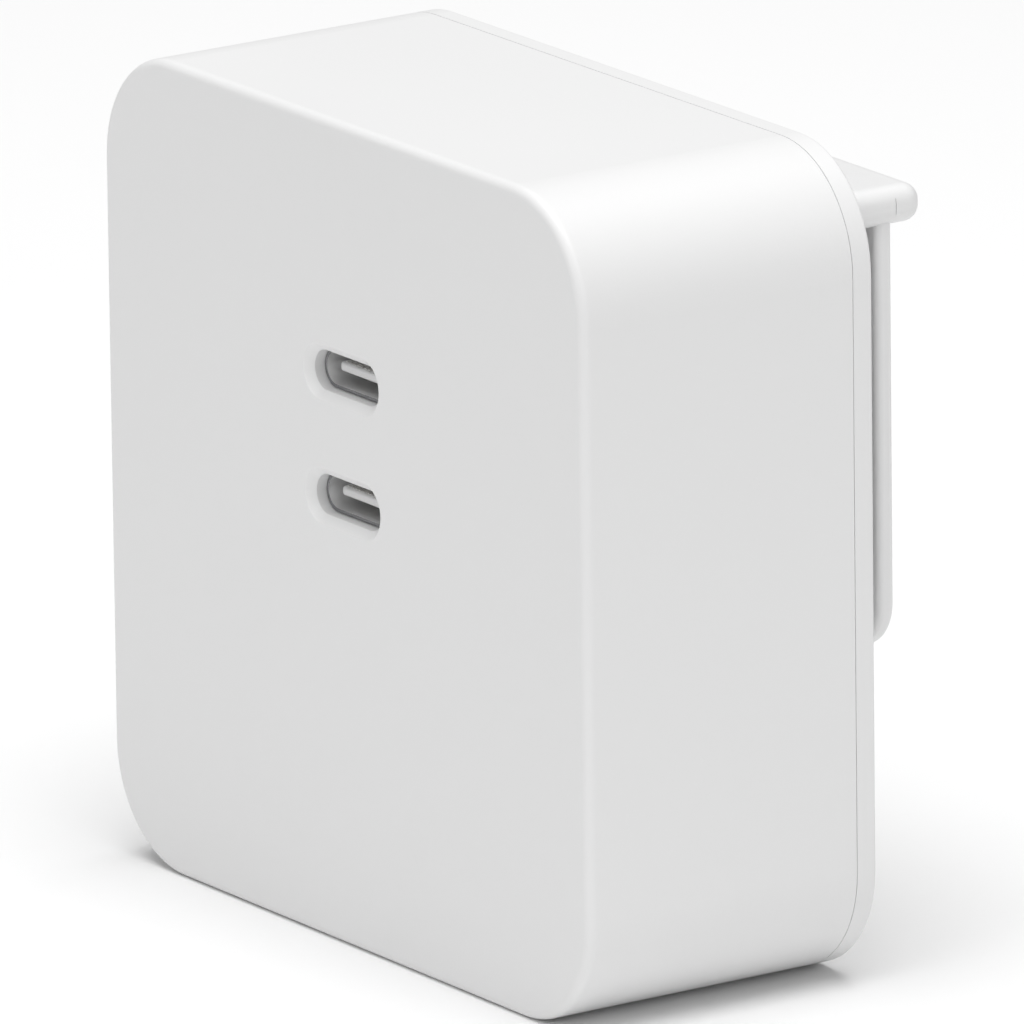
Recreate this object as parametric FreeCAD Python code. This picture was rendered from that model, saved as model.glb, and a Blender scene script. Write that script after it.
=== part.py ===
"""USB wall charger: a two-port case with a slide-on plug head and folding blades.

Frame: the origin is the centre of the bottom face that the charger stands on,
+Z is up, the ports face -Y and the plug faces +Y. All sizes are millimetres.
"""
import FreeCAD, Part
import math
import os

Vector = FreeCAD.Vector

# ---------------------------------------------------------------- driving dimensions
# Case
case_width = 65.0
case_height = 65.0
case_depth = 26.5
case_corner_radius = 9.2
wall = 2.2
front_edge_radius = 0.75
back_edge_radius = 0.3
cover_rim = 1.85
cover_thickness = 2.0
lip_depth = 1.8
lip_thickness = 1.2
seam_width = 0.07
seam_depth = 0.1
assembly_gap = 0.1
plane_tolerance = 1e-4

# USB-C ports
port_offset_x = 0.0
port_middle_above_centre = 7.5
port_pitch = 9.8
receptacle_width = 8.34
receptacle_height = 2.56
receptacle_length = 7.35
shell_wall = 0.25
recess_depth = 1.5
recess_gap = 0.06
recess_flare = 0.65
recess_edge_radius = 0.15
tongue_width = 6.69
tongue_thickness = 0.7
tongue_setback = 0.6
insulator_base = 2.2
contact_count = 12
contact_pitch = 0.5
contact_width = 0.26
contact_thickness = 0.06
contact_setback = 0.35
tongue_corner_radius = 0.3

# Boards
board_thickness = 1.6
board_rear_gap = 2.25
board_edge_gap = 0.6
port_board_width = 22.0
port_board_height = 26.0
port_board_thickness = 1.0
post_radius = 2.0
post_inset = 6.5
link_width = 12.0
link_height = 2.5
link_above_board_edge = 2.0
link_pin_count = 6
link_pin_size = 0.64
link_pin_showing = 1.3
usb_chip_size = 4.0
usb_chip_thickness = 0.9
chip_thickness = 0.9

# Heat spreaders and sheets
front_spreader_thickness = 0.8
rear_spreader_thickness = 0.6
sheet_thickness = 0.3
spreader_edge_gap = 0.8
spreader_port_gap = 1.5
spreader_post_gap = 0.3
rear_spreader_width = 40.0
rear_spreader_height = 22.0
barrier_thickness = 0.5
barrier_height = 26.0
barrier_depth = 15.0

# Power parts
transformer_width = 20.0
transformer_height = 20.0
transformer_depth = 13.0
transformer_window = 15.0
core_leg_radius = 3.5
core_yoke = 3.0
bobbin_wall = 0.8
winding_radius = 7.2
can_edge_radius = 0.5
bulk_capacitor_diameter = 10.0
bulk_capacitor_length = 18.0
output_capacitor_diameter = 6.3
output_capacitor_length = 9.0
output_capacitor_pitch = 8.0
choke_diameter = 13.0
choke_bore = 6.5
choke_depth = 4.5
choke_wire_build = 1.0
inductor_diameter = 9.0
inductor_height = 5.0
inductor_flange = 1.0
inductor_hub_radius = 2.0
choke_winding_gap = 3.0
output_capacitor_count = 3
y_capacitor_radius = 4.0
y_capacitor_thickness = 3.5
bridge_width = 6.5
bridge_height = 5.0
bridge_thickness = 1.6
bridge_lead = 0.9
switch_size = 8.0
x_capacitor_width = 13.0
x_capacitor_height = 5.5
x_capacitor_depth = 11.0
x_capacitor_edge_radius = 0.5
fuse_width = 8.5
fuse_height = 4.0
fuse_depth = 7.5
fuse_edge_radius = 0.4
controller_width = 5.0
controller_height = 4.0
rectifier_width = 5.0
rectifier_height = 6.0

# Places on the main board
transformer_x = 9.0
transformer_z = 16.0
bulk_capacitor_places = (-23.0, -12.0)
bulk_capacitor_z = 9.6
x_capacitor_x = -20.5
x_capacitor_z = 33.0
choke_x = -20.5
choke_z = 44.5
fuse_x = -16.0
fuse_z = 57.0
bridge_x = -4.0
bridge_above_link = 8.65
y_capacitor_x = 16.5
y_capacitor_z = 48.2
output_capacitor_x = 25.0
output_capacitor_z = 14.0
inductor_x = 24.0
inductor_z = 41.0
barrier_x = 20.3
barrier_z = 8.0
switch_x = -2.0
switch_z = 19.0
controller_x = 8.0
controller_z = 34.0
rectifier_x = 24.0
rectifier_z = 22.0

# Plug head
ledge_side_gap = 2.5
plate_side_gap = 2.9
head_gap = 2.45
head_back = 3.95
head_height = 36.45
head_corner_radius = 4.0
head_edge_radius = 0.55
ledge_thickness = 3.0
ledge_below_top = 3.65
ledge_reach = 6.65
ledge_gap = 0.15
ledge_edge_radius = 1.3
ledge_corner_radius = 1.4
block_side_wall = 2.0
block_clearance = 0.15
block_corner_radius = 3.0
block_overlap = 0.1
plug_face = 8.4
plug_face_edge_radius = 0.6
parting_groove = 0.08
parting_groove_depth = 0.12

# Dock rails and their slots
rail_web = 1.04
rail_neck_width = 2.4
rail_cap_width = 5.0
rail_neck_height = 1.2
rail_cap_height = 1.1
rail_length = 29.0
rail_clearance = 0.06
rail_end_gap = 0.2

# Folding blades
blade_spacing = 12.7
blade_width = 6.35
blade_thickness = 1.5
blade_reach = 16.5
blade_clearance = 0.2
blade_face_gap = 0.15
pivot_below_ledge = 4.95
saddle_depth = 1.125
pin_diameter = 1.6
pin_clearance = 0.03
pin_overhang = 5.2
blade_hole_diameter = 3.2
blade_hole_from_tip = 4.4
blade_tip_chamfer = 0.45
rotor_radius = 2.2
rotor_flat = 1.9
rotor_gap = 0.2
notch_width = 22.0
notch_height = 8.0
notch_corner_radius = 2.0
notch_above_tip = 1.5

# Contacts and springs
stud_below_pivot = 6.9
stud_diameter = 3.0
stud_shank_diameter = 1.8
stud_head_height = 0.8
contact_gap = 0.05
leaf_thickness = 0.3
contact_foot_width = 2.6
contact_pocket_gap = 0.15
contact_top_above_pivot = 2.6
contact_behind_pivot = 2.2
dimple_height = 0.3
dimple_radius = 0.7
blade_spring_gap = 0.1
detent_length = 10.0
detent_width = 4.0
detent_rise = 0.6
detent_thickness = 0.2
detent_above_head_bottom = 8.1
blade_spring_width = 6.0
blade_spring_length = 9.0

# ---------------------------------------------------------------- places worked out from them
far = 2 * (case_width + case_height)
centre_z = case_height / 2
front_y = -case_depth / 2
back_y = case_depth / 2
front_inner_y = front_y + wall
cover_inner_y = back_y - cover_thickness
rim_y = back_y - cover_rim
board_back_y = cover_inner_y - board_rear_gap
board_front_y = board_back_y - board_thickness
shell_width = receptacle_width + 2 * shell_wall
shell_height = receptacle_height + 2 * shell_wall
shell_front_y = front_y + recess_depth
shell_back_y = shell_front_y + receptacle_length
ports_z = centre_z + port_middle_above_centre
port_places = {"upper": ports_z + port_pitch / 2, "lower": ports_z - port_pitch / 2}
spreader_back_y = front_inner_y + front_spreader_thickness
sheet_back_y = spreader_back_y + sheet_thickness
link_z = ports_z - port_board_height / 2 + link_above_board_edge
bridge_z = link_z + bridge_above_link
ledge_top = case_height - ledge_below_top
ledge_bottom = ledge_top - ledge_thickness
head_bottom = ledge_top - head_height
ledge_half_width = case_width / 2 - ledge_side_gap
plate_half_width = case_width / 2 - plate_side_gap
pivot_height = ledge_bottom - pivot_below_ledge
stud_height = pivot_height - stud_below_pivot
detent_height = head_bottom + detent_above_head_bottom
pivot_y = back_y + plug_face - blade_face_gap - blade_width / 2
blade_tip_z = pivot_height - blade_reach - (back_y + plug_face - pivot_y)
head_front_y = back_y + block_clearance
port_board_back_y = shell_back_y + port_board_thickness
rear_spreader_y = cover_inner_y - rear_spreader_thickness
transformer_y = board_front_y - winding_radius - assembly_gap
detent_pocket_depth = detent_thickness + assembly_gap
blade_places = {"left": -blade_spacing / 2, "right": blade_spacing / 2}
parting_y = pivot_y - saddle_depth
plug_face_y = back_y + plug_face
blade_slot = blade_thickness + 2 * blade_clearance
contact_inner_x = blade_spacing / 2 + blade_thickness / 2 + contact_gap
contact_outer_x = contact_inner_x + contact_foot_width
stud_offset_x = (contact_inner_x + contact_outer_x) / 2
stud_places = {"live": -stud_offset_x, "neutral": stud_offset_x}
rail_centre_x = contact_outer_x + contact_pocket_gap + rail_web + rail_clearance + rail_cap_width / 2
block_half_width = rail_centre_x + rail_cap_width / 2 + block_side_wall
contact_top_z = pivot_height + contact_top_above_pivot
contact_back_y = pivot_y + contact_behind_pivot
pin_half_length = blade_spacing / 2 + blade_thickness / 2 + pin_overhang
rail_top_z = head_bottom + rail_length + rail_end_gap
rail_bottom_z = head_bottom + rail_end_gap


# ---------------------------------------------------------------- shape helpers
def box(x0, x1, y0, y1, z0, z1):
    """A box between two corners."""
    return Part.makeBox(x1 - x0, y1 - y0, z1 - z0, Vector(x0, y0, z0))


def centred_box(x, z, width, height, y0, y1):
    """A box centred at x, z in the board plane, between two depths."""
    return box(x - width / 2, x + width / 2, y0, y1, z - height / 2, z + height / 2)


def cylinder_x(y, z, radius, x0, x1):
    """A cylinder along X."""
    return Part.makeCylinder(radius, x1 - x0, Vector(x0, y, z), Vector(1, 0, 0))


def cylinder_y(x, z, radius, y0, y1):
    """A cylinder along Y."""
    return Part.makeCylinder(radius, y1 - y0, Vector(x, y0, z), Vector(0, 1, 0))


def cylinder_z(x, y, radius, z0, z1):
    """A cylinder along Z."""
    return Part.makeCylinder(radius, z1 - z0, Vector(x, y, z0), Vector(0, 0, 1))


def rounded_wire(corners, radius):
    """A closed wire through four corners, listed in turn, each one rounded."""
    arcs = []
    for index, corner in enumerate(corners):
        before = (corners[index - 1] - corner).normalize()
        after = (corners[(index + 1) % 4] - corner).normalize()
        middle = corner + (before + after) * radius * (1 - math.sqrt(0.5))
        arcs.append(Part.Arc(corner + before * radius, middle, corner + after * radius))
    edges = []
    for index, arc in enumerate(arcs):
        edges.append(arc.toShape())
        start = arc.EndPoint
        end = arcs[(index + 1) % 4].StartPoint
        if start.distanceToPoint(end) > plane_tolerance:
            edges.append(Part.LineSegment(start, end).toShape())
    return Part.Wire(edges)


def slab(x, z, width, height, radius, y0, y1):
    """A plate in the XZ plane with rounded corners, centred at x, z."""
    corners = [
        Vector(x - width / 2, y0, z - height / 2),
        Vector(x + width / 2, y0, z - height / 2),
        Vector(x + width / 2, y0, z + height / 2),
        Vector(x - width / 2, y0, z + height / 2),
    ]
    return Part.Face(rounded_wire(corners, radius)).extrude(Vector(0, y1 - y0, 0))


def shelf(half_width, radius, y0, y1, z0, z1):
    """A level plate with rounded corners, centred on X."""
    corners = [
        Vector(-half_width, y0, z0),
        Vector(half_width, y0, z0),
        Vector(half_width, y1, z0),
        Vector(-half_width, y1, z0),
    ]
    return Part.Face(rounded_wire(corners, radius)).extrude(Vector(0, 0, z1 - z0))


def case_slab(inset, y0, y1):
    """A slab with the outline of the case moved inwards by a distance."""
    width = case_width - 2 * inset
    height = case_height - 2 * inset
    return slab(0, centre_z, width, height, case_corner_radius - inset, y0, y1)


def edges_between(shape, low, high):
    """The edges of a shape that lie wholly inside a box given by two corners."""
    bounds = FreeCAD.BoundBox(low.x, low.y, low.z, high.x, high.y, high.z)
    return [edge for edge in shape.Edges if bounds.isInside(edge.BoundBox)]


def edges_at_y(shape, y):
    """The edges of a shape that lie in the plane at a depth."""
    low = Vector(-far, y - plane_tolerance, -far)
    return edges_between(shape, low, Vector(far, y + plane_tolerance, far))


def edges_at_z(shape, z):
    """The edges of a shape that lie in the plane at a height."""
    low = Vector(-far, -far, z - plane_tolerance)
    return edges_between(shape, low, Vector(far, far, z + plane_tolerance))


def joined(shapes):
    """One shape out of several that touch."""
    return shapes[0].multiFuse(shapes[1:]).removeSplitter()


# ---------------------------------------------------------------- case shells
def port_slab(z, margin, y0, y1):
    """A slab with the outline of a receptacle shell grown by a margin."""
    width = shell_width + 2 * margin
    height = shell_height + 2 * margin
    return slab(port_offset_x, z, width, height, height / 2, y0, y1)


def posts(y0, y1, radius):
    """Four round posts near the corners, which hold the main board."""
    reach_x = case_width / 2 - post_inset
    reach_z = case_height / 2 - post_inset
    places = [(sx * reach_x, centre_z + sz * reach_z) for sx in (-1, 1) for sz in (-1, 1)]
    return [cylinder_y(x, z, radius, y0, y1) for x, z in places]


def make_housing():
    """The front shell with the port recesses and the board posts."""
    shell = case_slab(0, front_y, rim_y)
    shell = shell.makeFillet(front_edge_radius, edges_at_y(shell, front_y))
    shell = shell.cut(case_slab(wall, front_inner_y, rim_y + wall))
    shell = joined([shell] + posts(front_inner_y - wall / 4, board_front_y, post_radius))
    reach = Vector(shell_width, plane_tolerance, shell_height)
    for z in port_places.values():
        shell = shell.cut(port_slab(z, recess_gap, front_y - wall, front_inner_y + wall))
        middle = Vector(port_offset_x, front_y, z)
        shell = shell.makeChamfer(recess_flare, edges_between(shell, middle - reach, middle + reach))
        shell = shell.makeFillet(recess_edge_radius, edges_between(shell, middle - reach, middle + reach))
    return shell


def make_back_cover():
    """The rear cover: rim, inner lip, board posts, dock rails, stud holes and spring pocket."""
    outer = case_slab(0, rim_y + seam_width, back_y)
    outer = outer.makeFillet(back_edge_radius, edges_at_y(outer, back_y))
    seat = case_slab(seam_depth, rim_y, rim_y + seam_width)
    lip_inset = wall + assembly_gap
    lip_front_y = cover_inner_y - lip_depth
    lip = case_slab(lip_inset, lip_front_y, rim_y)
    hollow = case_slab(lip_inset + lip_thickness, lip_front_y, cover_inner_y)
    pieces = [outer, seat, lip.cut(hollow)] + posts(board_back_y, cover_inner_y, post_radius)
    middle_z = (rail_bottom_z + rail_top_z) / 2
    cap_y = back_y + rail_neck_height
    for x in (-rail_centre_x, rail_centre_x):
        pieces.append(centred_box(x, middle_z, rail_neck_width, rail_length, back_y - wall / 4, cap_y))
        pieces.append(centred_box(x, middle_z, rail_cap_width, rail_length, cap_y, cap_y + rail_cap_height))
    cover = joined(pieces)
    cutters = []
    for x in stud_places.values():
        cutters.append(make_stud(x))
    pocket_y = back_y - detent_pocket_depth
    pocket_width = detent_width + 2 * assembly_gap
    pocket_length = detent_length + 2 * assembly_gap
    cutters.append(centred_box(0, detent_height, pocket_width, pocket_length, pocket_y, back_y + wall))
    return cover.cut(cutters)


# ---------------------------------------------------------------- ports
def make_port_shell(z):
    """The metal shell of a receptacle, open at the front and the back."""
    bore = slab(port_offset_x, z, receptacle_width, receptacle_height, receptacle_height / 2,
                shell_front_y, shell_back_y)
    return port_slab(z, 0, shell_front_y, shell_back_y).cut(bore)


def make_port_insulator(z):
    """The plastic base of a receptacle with its tongue."""
    base_y = shell_back_y - insulator_base
    base = slab(port_offset_x, z, receptacle_width, receptacle_height, receptacle_height / 2,
                base_y, shell_back_y)
    tongue = centred_box(port_offset_x, z, tongue_width, tongue_thickness,
                         shell_front_y + tongue_setback, base_y)
    front_edges = edges_at_y(tongue, shell_front_y + tongue_setback)
    sides = [edge for edge in front_edges if edge.Length < tongue_width / 2]
    tongue = tongue.makeFillet(tongue_corner_radius, sides)
    return joined([base, tongue])


def make_port_contacts(z):
    """Twelve contact strips on each face of a tongue, as separate solids."""
    strips = []
    first_x = port_offset_x - contact_pitch * (contact_count - 1) / 2
    start_y = shell_front_y + tongue_setback + contact_setback
    end_y = shell_back_y - insulator_base
    for index in range(contact_count):
        x = first_x + contact_pitch * index
        for side in (-1, 1):
            middle_z = z + side * (tongue_thickness + contact_thickness) / 2
            strips.append(centred_box(x, middle_z, contact_width, contact_thickness, start_y, end_y))
    return Part.makeCompound(strips)


# ---------------------------------------------------------------- boards and small parts
def make_main_board():
    """The main circuit board, held between the posts of the two shells."""
    return case_slab(wall + board_edge_gap, board_front_y, board_back_y)


def make_port_board():
    """The small board that carries the receptacles."""
    return centred_box(port_offset_x, ports_z, port_board_width, port_board_height,
                       shell_back_y, port_board_back_y)


def make_link_header():
    """The plastic body of the header between the two boards."""
    body = centred_box(port_offset_x, link_z, link_width, link_height,
                       port_board_back_y + link_pin_showing, board_front_y - link_pin_showing)
    return body.cut(make_link_pins())


def make_link_pins():
    """The pins of the header, as separate solids."""
    pins = []
    pitch = link_width / link_pin_count
    for index in range(link_pin_count):
        x = port_offset_x + pitch * (index - (link_pin_count - 1) / 2)
        pins.append(centred_box(x, link_z, link_pin_size, link_pin_size, port_board_back_y, board_front_y))
    return Part.makeCompound(pins)


def make_usb_chips():
    """One control chip behind each port, as separate solids."""
    chips = []
    for z in port_places.values():
        chips.append(centred_box(port_offset_x, z, usb_chip_size, usb_chip_size,
                                 port_board_back_y, port_board_back_y + usb_chip_thickness))
    return Part.makeCompound(chips)


def make_front_plate(y0, y1):
    """A plate behind the front wall, open around the ports and the posts."""
    plate = case_slab(wall + spreader_edge_gap, y0, y1)
    cutters = posts(y0, y1, post_radius + spreader_post_gap)
    cutters += [port_slab(z, spreader_port_gap, y0, y1) for z in port_places.values()]
    return plate.cut(cutters)


# ---------------------------------------------------------------- power parts
def make_transformer_core():
    """A ferrite core: a frame with a round middle leg along Z."""
    half_depth = transformer_depth / 2
    frame = centred_box(transformer_x, transformer_z, transformer_width, transformer_height,
                        transformer_y - half_depth, transformer_y + half_depth)
    window = centred_box(transformer_x, transformer_z, transformer_window, transformer_height - 2 * core_yoke,
                         transformer_y - half_depth, transformer_y + half_depth)
    leg = cylinder_z(transformer_x, transformer_y, core_leg_radius,
                     transformer_z - transformer_height / 2 + core_yoke / 2,
                     transformer_z + transformer_height / 2 - core_yoke / 2)
    return joined([frame.cut(window), leg])


def make_transformer_bobbin():
    """The bobbin: a tube around the leg and two flanges that stand on the board."""
    low = transformer_z - transformer_height / 2 + core_yoke + assembly_gap
    high = transformer_z + transformer_height / 2 - core_yoke - assembly_gap
    inner = core_leg_radius + assembly_gap
    tube = cylinder_z(transformer_x, transformer_y, inner + bobbin_wall, low, high)
    half_flange = transformer_window / 2 - assembly_gap
    pieces = [tube]
    for z0 in (low, high - bobbin_wall):
        pieces.append(box(transformer_x - half_flange, transformer_x + half_flange,
                          transformer_y - winding_radius, board_front_y, z0, z0 + bobbin_wall))
    bore = cylinder_z(transformer_x, transformer_y, inner, low - bobbin_wall, high + bobbin_wall)
    return joined(pieces).cut(bore)


def make_transformer_winding():
    """The taped winding between the bobbin's flanges."""
    low = transformer_z - transformer_height / 2 + core_yoke + 2 * assembly_gap + bobbin_wall
    high = transformer_z + transformer_height / 2 - core_yoke - 2 * assembly_gap - bobbin_wall
    inner = core_leg_radius + 2 * assembly_gap + bobbin_wall
    coil = cylinder_z(transformer_x, transformer_y, winding_radius, low, high)
    return coil.cut(cylinder_z(transformer_x, transformer_y, inner, low, high))


def make_bulk_capacitor(x):
    """A large electrolytic capacitor lying along Z on the board."""
    radius = bulk_capacitor_diameter / 2
    low = bulk_capacitor_z
    can = cylinder_z(x, board_front_y - radius, radius, low, low + bulk_capacitor_length)
    ends = edges_at_z(can, low) + edges_at_z(can, low + bulk_capacitor_length)
    return can.makeFillet(can_edge_radius, ends)


def make_output_capacitor(z):
    """A small polymer capacitor standing on the board."""
    top_y = board_front_y - output_capacitor_length
    can = cylinder_y(output_capacitor_x, z, output_capacitor_diameter / 2, top_y, board_front_y)
    return can.makeFillet(can_edge_radius, edges_at_y(can, top_y))


def make_choke_core():
    """The ring core of the input choke."""
    back = board_front_y - choke_wire_build
    ring = cylinder_y(choke_x, choke_z, choke_diameter / 2, back - choke_depth, back)
    return ring.cut(cylinder_y(choke_x, choke_z, choke_bore / 2, back - choke_depth, back))


def make_choke_windings():
    """The two windings of the input choke, as separate solids around the ring."""
    build = choke_wire_build
    front = board_front_y - choke_depth - 2 * build
    sleeve = cylinder_y(choke_x, choke_z, choke_diameter / 2 + build, front, board_front_y)
    sleeve = sleeve.cut(cylinder_y(choke_x, choke_z, choke_bore / 2 - build, front, board_front_y))
    sleeve = sleeve.cut(make_choke_core())
    width = choke_diameter + 4 * build
    return sleeve.cut(centred_box(choke_x, choke_z, choke_winding_gap, width, front, board_front_y))


def make_inductor_core():
    """The drum core of the output inductor."""
    front = board_front_y - inductor_height
    disc = cylinder_y(inductor_x, inductor_z, inductor_diameter / 2, front, board_front_y)
    ring = cylinder_y(inductor_x, inductor_z, inductor_diameter / 2,
                      front + inductor_flange, board_front_y - inductor_flange)
    hub = cylinder_y(inductor_x, inductor_z, inductor_hub_radius, front, board_front_y)
    return joined([disc.cut(ring), hub])


def make_inductor_winding():
    """The winding of the output inductor."""
    front = board_front_y - inductor_height + inductor_flange + assembly_gap / 2
    back = board_front_y - inductor_flange - assembly_gap / 2
    coil = cylinder_y(inductor_x, inductor_z, inductor_diameter / 2 - assembly_gap, front, back)
    return coil.cut(cylinder_y(inductor_x, inductor_z, inductor_hub_radius + assembly_gap / 2, front, back))


def make_block(x, z, width, height, depth, edge):
    """A moulded component on the front of the main board with rounded edges."""
    body = centred_box(x, z, width, height, board_front_y - depth, board_front_y)
    upright = [line for line in body.Edges if line.BoundBox.YLength > depth / 2]
    return body.makeFillet(edge, upright + edges_at_y(body, board_front_y - depth))


def make_rear_chip(x, z, width, height):
    """A flat chip on the back of the main board."""
    return centred_box(x, z, width, height, board_back_y, board_back_y + chip_thickness)


def make_bridge_rectifier():
    """The bridge rectifier with its four flat leads."""
    body = centred_box(bridge_x, bridge_z, bridge_width, bridge_height,
                       board_front_y - bridge_thickness, board_front_y)
    pieces = [body]
    for sx in (-1, 1):
        for sz in (-1, 1):
            x = bridge_x + sx * (bridge_width + bridge_lead) / 2
            z = bridge_z + sz * bridge_height / 4
            lead_y = board_front_y - leaf_thickness
            pieces.append(centred_box(x, z, bridge_lead, bridge_lead, lead_y, board_front_y))
    return joined(pieces)


# ---------------------------------------------------------------- mains studs and dock spring
def make_stud(x):
    """A stud with a flat head flush with the back face, its shank reaching the board."""
    head = cylinder_y(x, stud_height, stud_diameter / 2, back_y - stud_head_height, back_y)
    shank = cylinder_y(x, stud_height, stud_shank_diameter / 2, board_back_y, back_y)
    return joined([head, shank])


def make_dock_spring():
    """A thin bowed leaf whose crest clicks into the plug head."""
    half = detent_length / 2
    end_y = back_y - detent_pocket_depth
    crest_y = back_y + detent_rise
    points = []
    for offset in (0.0, detent_thickness):
        points.append([
            Vector(0, end_y + offset, detent_height - half),
            Vector(0, crest_y - detent_thickness + offset, detent_height),
            Vector(0, end_y + offset, detent_height + half),
        ])
    inner, outer = points
    wire = Part.Wire([
        Part.Arc(*inner).toShape(),
        Part.LineSegment(inner[2], outer[2]).toShape(),
        Part.Arc(*outer).toShape(),
        Part.LineSegment(outer[0], inner[0]).toShape(),
    ])
    strip = Part.Face(wire).extrude(Vector(detent_width, 0, 0))
    strip.translate(Vector(-detent_width / 2, 0, 0))
    return strip


# ---------------------------------------------------------------- plug head
def make_head_outside():
    """The outer form of the plug head: wide plate, ledge and the block of the plug face."""
    plate_y0 = back_y + head_gap
    plate_y1 = back_y + head_back
    over_top = ledge_top + head_corner_radius
    plate = slab(0, (head_bottom + over_top) / 2, 2 * plate_half_width, over_top - head_bottom,
                 head_corner_radius, plate_y0, plate_y1)
    plate = plate.makeFillet(head_edge_radius, edges_at_y(plate, plate_y0) + edges_at_y(plate, plate_y1))
    ledge_middle = ledge_top - ledge_thickness / 2
    plate = plate.cut(box(-far, far, back_y, plug_face_y, ledge_middle, over_top + wall))
    ledge_front_y = back_y + ledge_gap
    ledge = shelf(ledge_half_width, ledge_corner_radius, ledge_front_y - 2 * ledge_corner_radius,
                  back_y + ledge_reach, ledge_bottom, ledge_top)
    level_edges = edges_at_z(ledge, ledge_bottom) + edges_at_z(ledge, ledge_top)
    ledge = ledge.makeFillet(ledge_edge_radius, level_edges)
    ledge = ledge.cut(box(-far, far, front_y, ledge_front_y, 0, far))
    block_top = ledge_bottom + block_overlap
    block = slab(0, (head_bottom + block_top) / 2, 2 * block_half_width, block_top - head_bottom,
                 block_corner_radius, head_front_y, plug_face_y)
    block = block.makeFillet(plug_face_edge_radius, edges_at_y(block, plug_face_y))
    return joined([plate, ledge, block])


def rail_slots():
    """The T-shaped slots that the dock rails run in, open at the bottom."""
    top = rail_top_z + rail_end_gap
    height = top - head_bottom + wall
    middle_z = top - height / 2
    cap_y0 = back_y + rail_neck_height - rail_clearance
    cap_y1 = back_y + rail_neck_height + rail_cap_height + rail_clearance
    slots = []
    for x in (-rail_centre_x, rail_centre_x):
        neck_width = rail_neck_width + 2 * rail_clearance
        cap_width = rail_cap_width + 2 * rail_clearance
        slots.append(centred_box(x, middle_z, neck_width, height, back_y, cap_y1))
        slots.append(centred_box(x, middle_z, cap_width, height, cap_y0, cap_y1))
    return slots


def blade_room():
    """The slots of the blades, the finger notch and the room around the rotor."""
    half = blade_width / 2 + blade_clearance
    cutters = []
    for x in blade_places.values():
        z0 = blade_tip_z - 2 * blade_clearance
        z1 = pivot_height + half
        cutters.append(centred_box(x, (z0 + z1) / 2, blade_slot, z1 - z0, pivot_y - half, plug_face_y + wall))
    room = rotor_radius + rotor_gap
    reach = blade_spacing / 2
    cutters.append(cylinder_x(pivot_y, pivot_height, room, -reach, reach))
    cutters.append(box(-reach, reach, pivot_y - room, pivot_y, pivot_height - room, pivot_height + room))
    cutters.append(slab(0, blade_tip_z + notch_above_tip, notch_width, notch_height, notch_corner_radius,
                        parting_y, plug_face_y + wall))
    return cutters


def contact_pocket(side):
    """The pocket of a head contact, open towards the case."""
    inner = blade_spacing / 2 + blade_thickness / 2
    outer = contact_outer_x + contact_pocket_gap
    z0 = stud_height - stud_diameter / 2 - contact_pocket_gap
    z1 = contact_top_z + contact_pocket_gap
    y1 = contact_back_y + contact_pocket_gap
    return box(min(side * inner, side * outer), max(side * inner, side * outer), back_y, y1, z0, z1)


def pin_channel(side, clearance):
    """The upright channel of one pin end, from the parting plane to the pivot."""
    half = pin_diameter / 2 + clearance
    x0 = side * (contact_outer_x + contact_pocket_gap)
    x1 = side * pin_half_length
    return box(min(x0, x1), max(x0, x1), parting_y, pivot_y, pivot_height - half, pivot_height + half)


def pin_bore():
    """The bore that the pivot pin turns in."""
    reach = pin_half_length + assembly_gap
    return cylinder_x(pivot_y, pivot_height, pin_diameter / 2 + pin_clearance, -reach, reach)


def parting_ring():
    """The fine groove where the head's two halves meet, on every side but the ledge's top."""
    groove_y = parting_y + parting_groove
    inner_half = ledge_half_width - parting_groove_depth
    ledge_core = box(-inner_half, inner_half, parting_y, groove_y,
                     ledge_bottom + parting_groove_depth, ledge_top)
    core_bottom = head_bottom + parting_groove_depth
    core_top = ledge_top - ledge_thickness / 2
    block_core = slab(0, (core_bottom + core_top) / 2, 2 * (block_half_width - parting_groove_depth),
                      core_top - core_bottom, block_corner_radius - parting_groove_depth, parting_y, groove_y)
    ring = box(-far, far, parting_y, groove_y, 0, far)
    return ring.cut([ledge_core, block_core])


def make_plug_head_base():
    """The front half of the plug head, with rail slots, pin saddles and spring seat."""
    front_half = box(-far, far, back_y, parting_y, 0, far)
    base = make_head_outside().common(front_half)
    saddle_clearance = pin_clearance - assembly_gap / 2
    saddles = [pin_channel(side, saddle_clearance) for side in (-1, 1)]
    cutters = rail_slots() + blade_room() + [contact_pocket(-1), contact_pocket(1)]
    seat_y = pivot_y - rotor_flat - blade_spring_gap - leaf_thickness
    cutters.append(centred_box(0, pivot_height, blade_spring_width + 2 * assembly_gap,
                               blade_spring_length + 2 * assembly_gap, seat_y, parting_y))
    cutters.append(centred_box(0, pivot_height, blade_spring_width, blade_spring_length / 2,
                               seat_y - leaf_thickness, seat_y))
    click_y = back_y + detent_rise + assembly_gap
    cutters.append(centred_box(0, detent_height, detent_width + 4 * assembly_gap, detent_length,
                               back_y, click_y))
    return joined([base.cut(cutters)] + saddles).cut(pin_bore())


def make_plug_head_cover():
    """The rear half of the plug head, with the plug face and the finger notch."""
    rear_half = box(-far, far, parting_y, plug_face_y + wall, 0, far)
    cover = make_head_outside().common(rear_half)
    channels = [pin_channel(side, pin_clearance) for side in (-1, 1)]
    cutters = blade_room() + [contact_pocket(-1), contact_pocket(1), pin_bore(), parting_ring()] + channels
    return cover.cut(cutters)


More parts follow.
